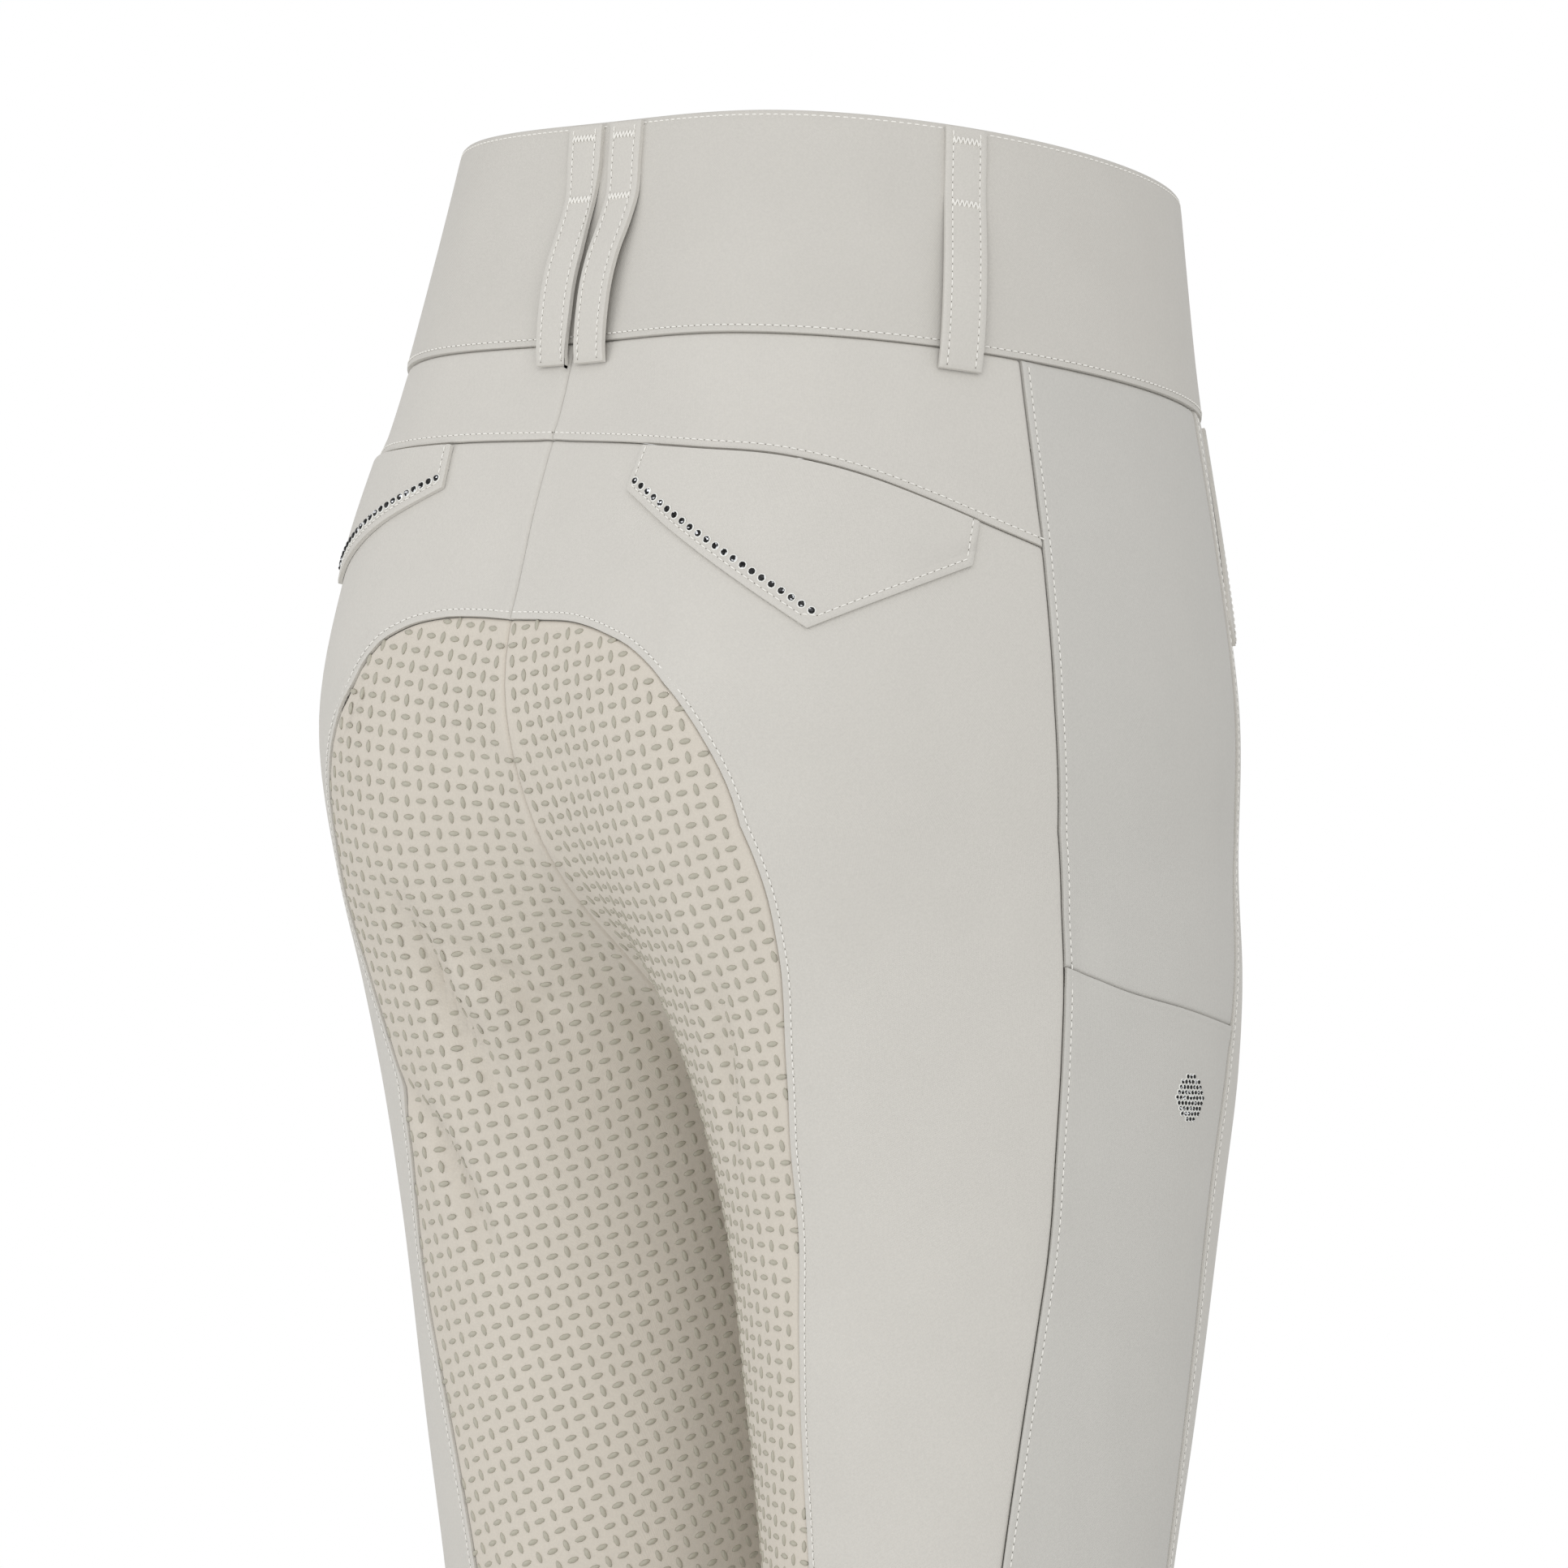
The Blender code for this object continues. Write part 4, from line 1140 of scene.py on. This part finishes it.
# flattens a net as a pattern cutter would: each triangle keeps its shape, turned as best fits its
# neighbours, and the corners settle between them; weights are cotangents of the opposite angles
def flatten(points, triangles, start, rounds=150):
    first = points[triangles[:, 1]] - points[triangles[:, 0]]
    second = points[triangles[:, 2]] - points[triangles[:, 0]]
    x = unit(first)
    y = np.cross(unit(np.cross(first, second)), x)
    own = np.zeros((len(triangles), 3, 2))
    own[:, 1, 0] = np.linalg.norm(first, axis=1)
    own[:, 2] = np.stack([np.sum(second * x, 1), np.sum(second * y, 1)], 1)
    weight = np.zeros((len(triangles), 3))
    for k in range(3):
        p, q = own[:, (k + 1) % 3] - own[:, k], own[:, (k + 2) % 3] - own[:, k]
        weight[:, k] = np.sum(p * q, 1) / np.abs(p[:, 0] * q[:, 1] - p[:, 1] * q[:, 0])
    matrix = np.zeros((len(points), len(points)))
    for k in range(3):
        i, j = triangles[:, (k + 1) % 3], triangles[:, (k + 2) % 3]
        for p, q, sign in ((i, j, -1), (j, i, -1), (i, i, 1), (j, j, 1)):
            np.add.at(matrix, (p, q), sign * weight[:, k])
    solver = np.linalg.inv(matrix + 1e-9 * np.eye(len(points)))
    flat = start.copy()
    for _ in range(rounds):
        stretch = np.zeros((len(triangles), 2, 2))
        for k in range(3):
            i, j = (k + 1) % 3, (k + 2) % 3
            now, then = flat[triangles[:, i]] - flat[triangles[:, j]], own[:, i] - own[:, j]
            stretch += weight[:, k, None, None] * now[:, :, None] * then[:, None, :]
        left, _, right = np.linalg.svd(stretch)
        left[:, :, 1] *= np.sign(np.linalg.det(left @ right))[:, None]
        turned = left @ right
        pull = np.zeros_like(flat)
        for k in range(3):
            i, j = (k + 1) % 3, (k + 2) % 3
            push = weight[:, k, None] * np.einsum("nij,nj->ni", turned, own[:, i] - own[:, j])
            np.add.at(pull, triangles[:, i], push)
            np.add.at(pull, triangles[:, j], -push)
        flat = solver @ pull
        flat -= flat.mean(0)
    return flat


# a low dome: an oval with pointed ends, a shoulder and a crown
def beadShape():
    around = beads["around"]
    x, y, z = circle(around).T
    outline = np.stack([0.5 * beads["length"] * x, 0.5 * beads["width"] * y * np.abs(y) ** 0.25, z], 1)
    long, wide, high = beads["shoulder"]
    low = outline - (0, 0, beads["sunk"])
    middle = outline * (long, wide, 1) + (0, 0, high * beads["height"])
    return np.concatenate([low, middle, [(0, 0, beads["height"])]]), ringFaces(2, around, 2 * around)


# lattice places on the flat cut, each carried back to the form by its triangle's three shares
def gripBeads(side):
    mirror = 1 if side == "right" else -1
    points, heights, triangles, column, (arch, fork) = gripNet(side)
    flat = flatten(points, triangles, np.stack([column * 5.0 * mirror, heights], 1))
    seam = flat[arch] - flat[fork]
    lean = np.arctan2(seam[0], seam[1])
    flat = flat - flat[arch]
    for angle in (lean, np.radians(beads["lean"])):
        turned = np.array([[np.cos(angle), -np.sin(angle)], [np.sin(angle), np.cos(angle)]])
        flat = flat @ turned.T
    # the printed rows turn as they go down: a slight squaring of the complex plane keeps them square
    down = -(flat[:, 1] + beads["bendFrom"]) + 1j * flat[:, 0] * mirror
    down = down + 1j * beads["bend"][side] * down * down / 2
    flat = np.stack([down.imag * mirror, -down.real], 1)
    pitch = beads["pitch"]
    low = np.floor(flat.min(0) / pitch).astype(int)
    high = np.ceil(flat.max(0) / pitch).astype(int)
    i, j = (axis.ravel() for axis in np.meshgrid(np.arange(low[0], high[0]), np.arange(low[1], high[1])))
    spots = (np.stack([i, j], 1) + 0.5) * pitch
    corner = flat[triangles]
    first, second = corner[:, 1] - corner[:, 0], corner[:, 2] - corner[:, 0]
    area = first[:, 0] * second[:, 1] - first[:, 1] * second[:, 0]
    away = spots[:, None] - corner[None, :, 0]
    b = (away[..., 0] * second[:, 1] - away[..., 1] * second[:, 0]) / area
    c = (first[:, 0] * away[..., 1] - first[:, 1] * away[..., 0]) / area
    hit = (b >= 0) & (c >= 0) & (b + c <= 1)
    found = hit.any(1)
    which = hit.argmax(1)[found]
    b, c = b[found, which][:, None], c[found, which][:, None]
    i, j = i[found], j[found]
    mine = triangles[which]
    base = points[mine[:, 0]] * (1 - b - c) + points[mine[:, 1]] * b + points[mine[:, 2]] * c
    base, normal = ontoForm(base)
    run = np.stack([points[mine[:, 1]] - points[mine[:, 0]], points[mine[:, 2]] - points[mine[:, 0]]], 2)
    flatRun = np.stack([first[which], second[which]], 2)
    ways = run @ np.linalg.inv(flatRun)
    along = np.where(((i + j) % 2)[:, None] == 1, ways[:, :, 0], ways[:, :, 1])
    # clear of the panel's own edges, and following the cloth down beside them
    keep = base[:, 2] > beads["lowest"]
    lift = relief(base, side)
    for edge in panels["edges"]["grip"]:
        off = offPath(base, edgePath(edge, side))[0]
        kind = edge.split()[-1]
        keep &= off > beads["fromEdge"][kind]
        lift += edgeRelief(kind, off)
    # and lying on its slope
    slope = riseOf(lambda at: relief(at, side), base)
    slope -= normal * np.sum(slope * normal, 1, keepdims=True)
    shape, faces = beadShape()
    scatter(f"grip_beads_{side}", shape, faces, (base + normal * lift[:, None])[keep], along[keep],
            unit(normal - slope)[keep], siliconeFinish, "silicone")
    return int(keep.sum())


# screen-printed silicone rubber: greyish, slightly glossy
siliconeFinish = plainFinish("printed silicone", "#b3afa1", Roughness=0.24, IOR=1.41)
print("grip beads:", [gripBeads(side) for side in sides])


stones = {
    "radius": 1.2,
    "height": 0.85,
    "count": 22,
    "inset": (3.9, 5.4),  # from the flap's lower edge, at its inner corner and at its point
    "around": 8,
    # from the back of the rim up to the table: share of the radius, of the height, turn in facets
    "profile": ((1.0, -0.1, 0), (1.0, 0.22, 0), (0.82, 0.66, 0.5), (0.5, 1.0, 0)),
    "rim": ((1.3, -0.1), (1.25, 0.16), (0.98, 0.24)),  # share of the radius, height
    "rimAround": 12,
    "paintedGlints": 0.11,  # share of the facets given a near-white tone as painted glints
    "tones": (0.004, 0.06, 0.98),  # darkest, spread of the dark ones, the near-white tone of a painted glint
}
# clear glue round the stone: a smooth ring, coloured near white as painted glare
rimGlareFinish = plainFinish("glue rim, painted glare", "#f0f0ec", Roughness=0.3)


# foil-backed cut glass: dark, and a few facets get a near-white colour as painted glints
def cutGlass():
    material, tree, shader = newMaterial("dark cut glass, foil-backed, painted glints", {"Metallic": 0.6, "Roughness": 0.1})
    facet = addNode(tree, "ShaderNodeAttribute", {"attribute_name": "facet"})
    colour = addNode(tree, "ShaderNodeVectorMath", {"operation": "SCALE", 0: (0.9, 0.92, 0.96)},
                     {"Scale": facet.outputs["Fac"]})
    tree.links.new(colour.outputs[0], shader.inputs["Base Color"])
    return material


stoneGlintFinish = cutGlass()


# a cut stone: a crown of flat facets up to a flat table
def stoneShape(radius, height):
    around = stones["around"]
    size = (radius, radius, 1)
    rings = [circle(around, offset * 2 * np.pi / around) * share * size + (0, 0, level * height)
             for share, level, offset in stones["profile"]]
    return np.concatenate(rings), ringFaces(len(rings), around, None)


# a ring that swells out below the stone
def stoneRim(radius):
    rings = [circle(stones["rimAround"]) * radius * share + (0, 0, level) for share, level in stones["rim"]]
    return np.concatenate(rings), ringFaces(len(rings), stones["rimAround"], None)


# stones in one piece, and their rims in another
def setStones(name, places, along, up, radius, height):
    piece = scatter(name, *stoneShape(radius, height), places, along, up, stoneGlintFinish, "crystal",
                    smooth=False)
    # one tone for both triangles of a facet: mostly dark and varying at random, and the highest of the
    # chances get a near-white tone as painted glints
    count = len(piece.data.polygons)
    chance = np.random.default_rng(7).random((count + 1) // 2)
    dark, uneven, flash = stones["tones"]
    tone = np.where(chance > 1 - stones["paintedGlints"], flash, dark + uneven * chance**3)
    facets = piece.data.attributes.new("facet", "FLOAT", "FACE")
    facets.data.foreach_set("value", np.repeat(tone, 2)[:count].astype(np.float32))
    scatter(f"{name}_settings", *stoneRim(radius), places - up * 0.02, along, up, rimGlareFinish, "crystal")


for side in sides:
    # along the flap's edge from the inner corner to the point, in from the stitching
    flap = flapEdges[side]
    inset = np.linspace(*stones["inset"], len(flap["stoneEdge"]))
    line = movedIn(flap["stoneEdge"], flap["stoneUp"], flap["inside"], inset)
    line += flap["stoneUp"] * (relief(line, side) + flaps["rise"])[:, None]
    place, way, up = stepsAlong(line, flap["stoneUp"], count=stones["count"])
    setStones(f"flap_stones_{side}", place, way, up, stones["radius"], stones["height"])

cluster = {
    "turn": 0.425,
    "height": -310,
    "pitch": 2.0,
    "radius": 0.8,
    "stoneHeight": 0.6,
    "halfWidth": 8.5,
    "halfHeight": 7.5,
}


# a plain oval of small stones, packed in sixes
def stoneCluster():
    centre, normal = onForm(cluster["turn"], cluster["height"], "right")
    level = unit(np.cross((0, 0, 1), normal))
    up = np.cross(normal, level)
    i, j = (axis.ravel() for axis in np.meshgrid(np.arange(-8, 9), np.arange(-8, 9)))
    x = (i + 0.5 * (j % 2)) * cluster["pitch"]
    y = j * cluster["pitch"] * np.sqrt(0.75)
    keep = (x / cluster["halfWidth"]) ** 2 + (y / cluster["halfHeight"]) ** 2 <= 1
    spots, ups = ontoForm(centre + x[keep, None] * level + y[keep, None] * up)
    spots += ups * relief(spots, "right")[:, None]
    setStones("pocket_stones", spots, np.broadcast_to(level, spots.shape), ups, cluster["radius"],
              cluster["stoneHeight"])


stoneCluster()
print("stones")


buttons = {
    "turn": 0.035,
    "heights": (-22, -53),
    "stand": 1.15,  # of its back, off the form
    # radius and height, from the edge of the back round to the edge of the sunken middle
    "profile": ((7.65, 0.0), (8.5, 0.5), (8.5, 1.9), (8.0, 2.48), (7.3, 2.6), (6.5, 2.3), (5.9, 1.75),
                (2.55, 1.65)),
    "face": 1.65,  # height of the middle
    "around": 48,
    "holesOff": 1.5,  # from the middle, both ways
    "holeAround": 10,
    "threads": ((-1.62, 0.25), (1.5, 0.25), (1.62, 0.25)),  # three rows: height on the face, lift
}
# moulded polyester, satin, with four sewing holes
buttonFinish = plainFinish("moulded polyester button", "#bdbbb6", Roughness=0.35, IOR=1.55)


# a profile turned round the button's axis, with pits for the holes, coloured with painted shade, and thread
# across them
def waistButton(number, height):
    point, normal = onForm(buttons["turn"], height, "right")
    level = unit(np.cross((0, 0, 1), normal))
    up = np.cross(normal, level)
    around = buttons["around"]
    rings = [circle(around) * radius + (0, 0, high) for radius, high in buttons["profile"]]
    shape = np.concatenate(rings + [[(0, 0, buttons["face"])]])
    base = point + normal * buttons["stand"]
    addPiece(f"button_{number}", base + shape @ np.stack([level, up, normal]),
             ringFaces(len(rings), around, len(rings) * around), buttonFinish,
             [f"waist_button_{number}"], sharp=35)
    face = base + normal * buttons["face"]
    off = buttons["holesOff"]
    places = np.array([face + level * a * off + up * b * off for a in (-1, 1) for b in (-1, 1)])
    disc = circle(buttons["holeAround"])
    pit = np.concatenate([disc * 0.75 + (0, 0, -0.1), disc * 0.7 + (0, 0, 0.02)])
    scatter(f"button_hole_shade_{number}", pit, ringFaces(2, buttons["holeAround"], None), places,
            np.tile(level, (4, 1)), np.tile(normal, (4, 1)), holeShadeFinish, "button")
    shape, faces = threadShape()
    places = np.array([face + up * high + normal * lift for high, lift in buttons["threads"]])
    scatter(f"button_thread_{number}", shape * (1.5, 1.4, 1.4), faces, places,
            np.tile(level, (3, 1)), np.tile(normal, (3, 1)), threadFinish, "stitching")


for number, height in enumerate(buttons["heights"], 1):
    waistButton(number, height)
print("buttons")


studio = {
    # camera: degrees, metres and millimetres of lens
    "azimuth": 225,
    "distance": 3.5,
    "sideways": -0.011,
    "height": -0.37,
    "aim": -0.204,
    "roll": 0.3,
    "lens": 240.0,
    "sensor": 36,
    "floor": -0.978,
    "floorSize": 7.0,
    "dome": 0.72,
    # watts, size, then metres towards the camera, to its right and above the waist
    "lights": {"key light": (23, 2.4, (2.6, 0.1, 0.8)), "low fill": (12, 1.6, (0.6, -2.4, -0.55))},
    "lightsAim": (0, 0, -0.35),
}


# place and directions of a thing at eye that looks at target, rolled by degrees
def lookingAt(eye, target, roll=0.0):
    forwards = unit(target - eye)
    right = unit(np.cross(forwards, (0, 0, 1)))
    up = np.cross(right, forwards)
    angle = np.radians(roll)
    x = right * np.cos(angle) + up * np.sin(angle)
    matrix = np.eye(4)
    matrix[:3, 0], matrix[:3, 1], matrix[:3, 2], matrix[:3, 3] = x, np.cross(x, forwards), -forwards, eye
    return matrix.tolist()


def setStudio():
    scene = bpy.context.scene
    turn = np.radians(studio["azimuth"])
    right = np.array([np.cos(turn), np.sin(turn), 0])
    back = np.array([np.sin(turn), -np.cos(turn), 0])
    eye = back * studio["distance"] + right * studio["sideways"] + (0, 0, studio["height"])
    aim = right * studio["sideways"] + (0, 0, studio["aim"])
    camera = bpy.data.objects.new("camera", bpy.data.cameras.new("camera"))
    scene.collection.objects.link(camera)
    camera.data.lens = studio["lens"]
    camera.data.sensor_width = studio["sensor"]
    camera.data.clip_end = 50
    camera.matrix_world = Matrix(lookingAt(eye, aim, studio["roll"]))
    scene.camera = camera
    for name, (power, size, (away, aside, above)) in studio["lights"].items():
        lamp = bpy.data.objects.new(name, bpy.data.lights.new(name, "AREA"))
        lamp.data.size = size
        lamp.data.energy = power
        scene.collection.objects.link(lamp)
        stand = back * away + right * aside + (0, 0, above)
        lamp.matrix_world = Matrix(lookingAt(stand, np.array(studio["lightsAim"])))
    # a white backdrop, a little brighter than the light that it gives
    world = bpy.data.worlds.new("white studio")
    world.use_nodes = True
    tree = world.node_tree
    shader = tree.nodes["Background"]
    shader.inputs["Color"].default_value = (1, 1, 1, 1)
    path = addNode(tree, "ShaderNodeLightPath")
    strength = addNode(tree, "ShaderNodeMapRange", {"To Min": studio["dome"], "To Max": 1.0},
                       {"Value": path.outputs["Is Camera Ray"]})
    tree.links.new(strength.outputs[0], shader.inputs["Strength"])
    scene.world = world
    scene.view_settings.view_transform = "Standard"


def layFloor():
    half, level = 0.5 * studio["floorSize"], studio["floor"]
    mesh = bpy.data.meshes.new("floor")
    corners = [(-half, -half, level), (half, -half, level), (half, half, level), (-half, half, level)]
    mesh.from_pydata(corners, [], [(0, 1, 2, 3)])
    # painted board: matt, a little off white
    mesh.materials.append(plainFinish("painted studio floor", "#efefed", Roughness=0.8))
    floor = bpy.data.objects.new("floor", mesh)
    bpy.context.scene.collection.objects.link(floor)


setStudio()
layFloor()
print("studio")
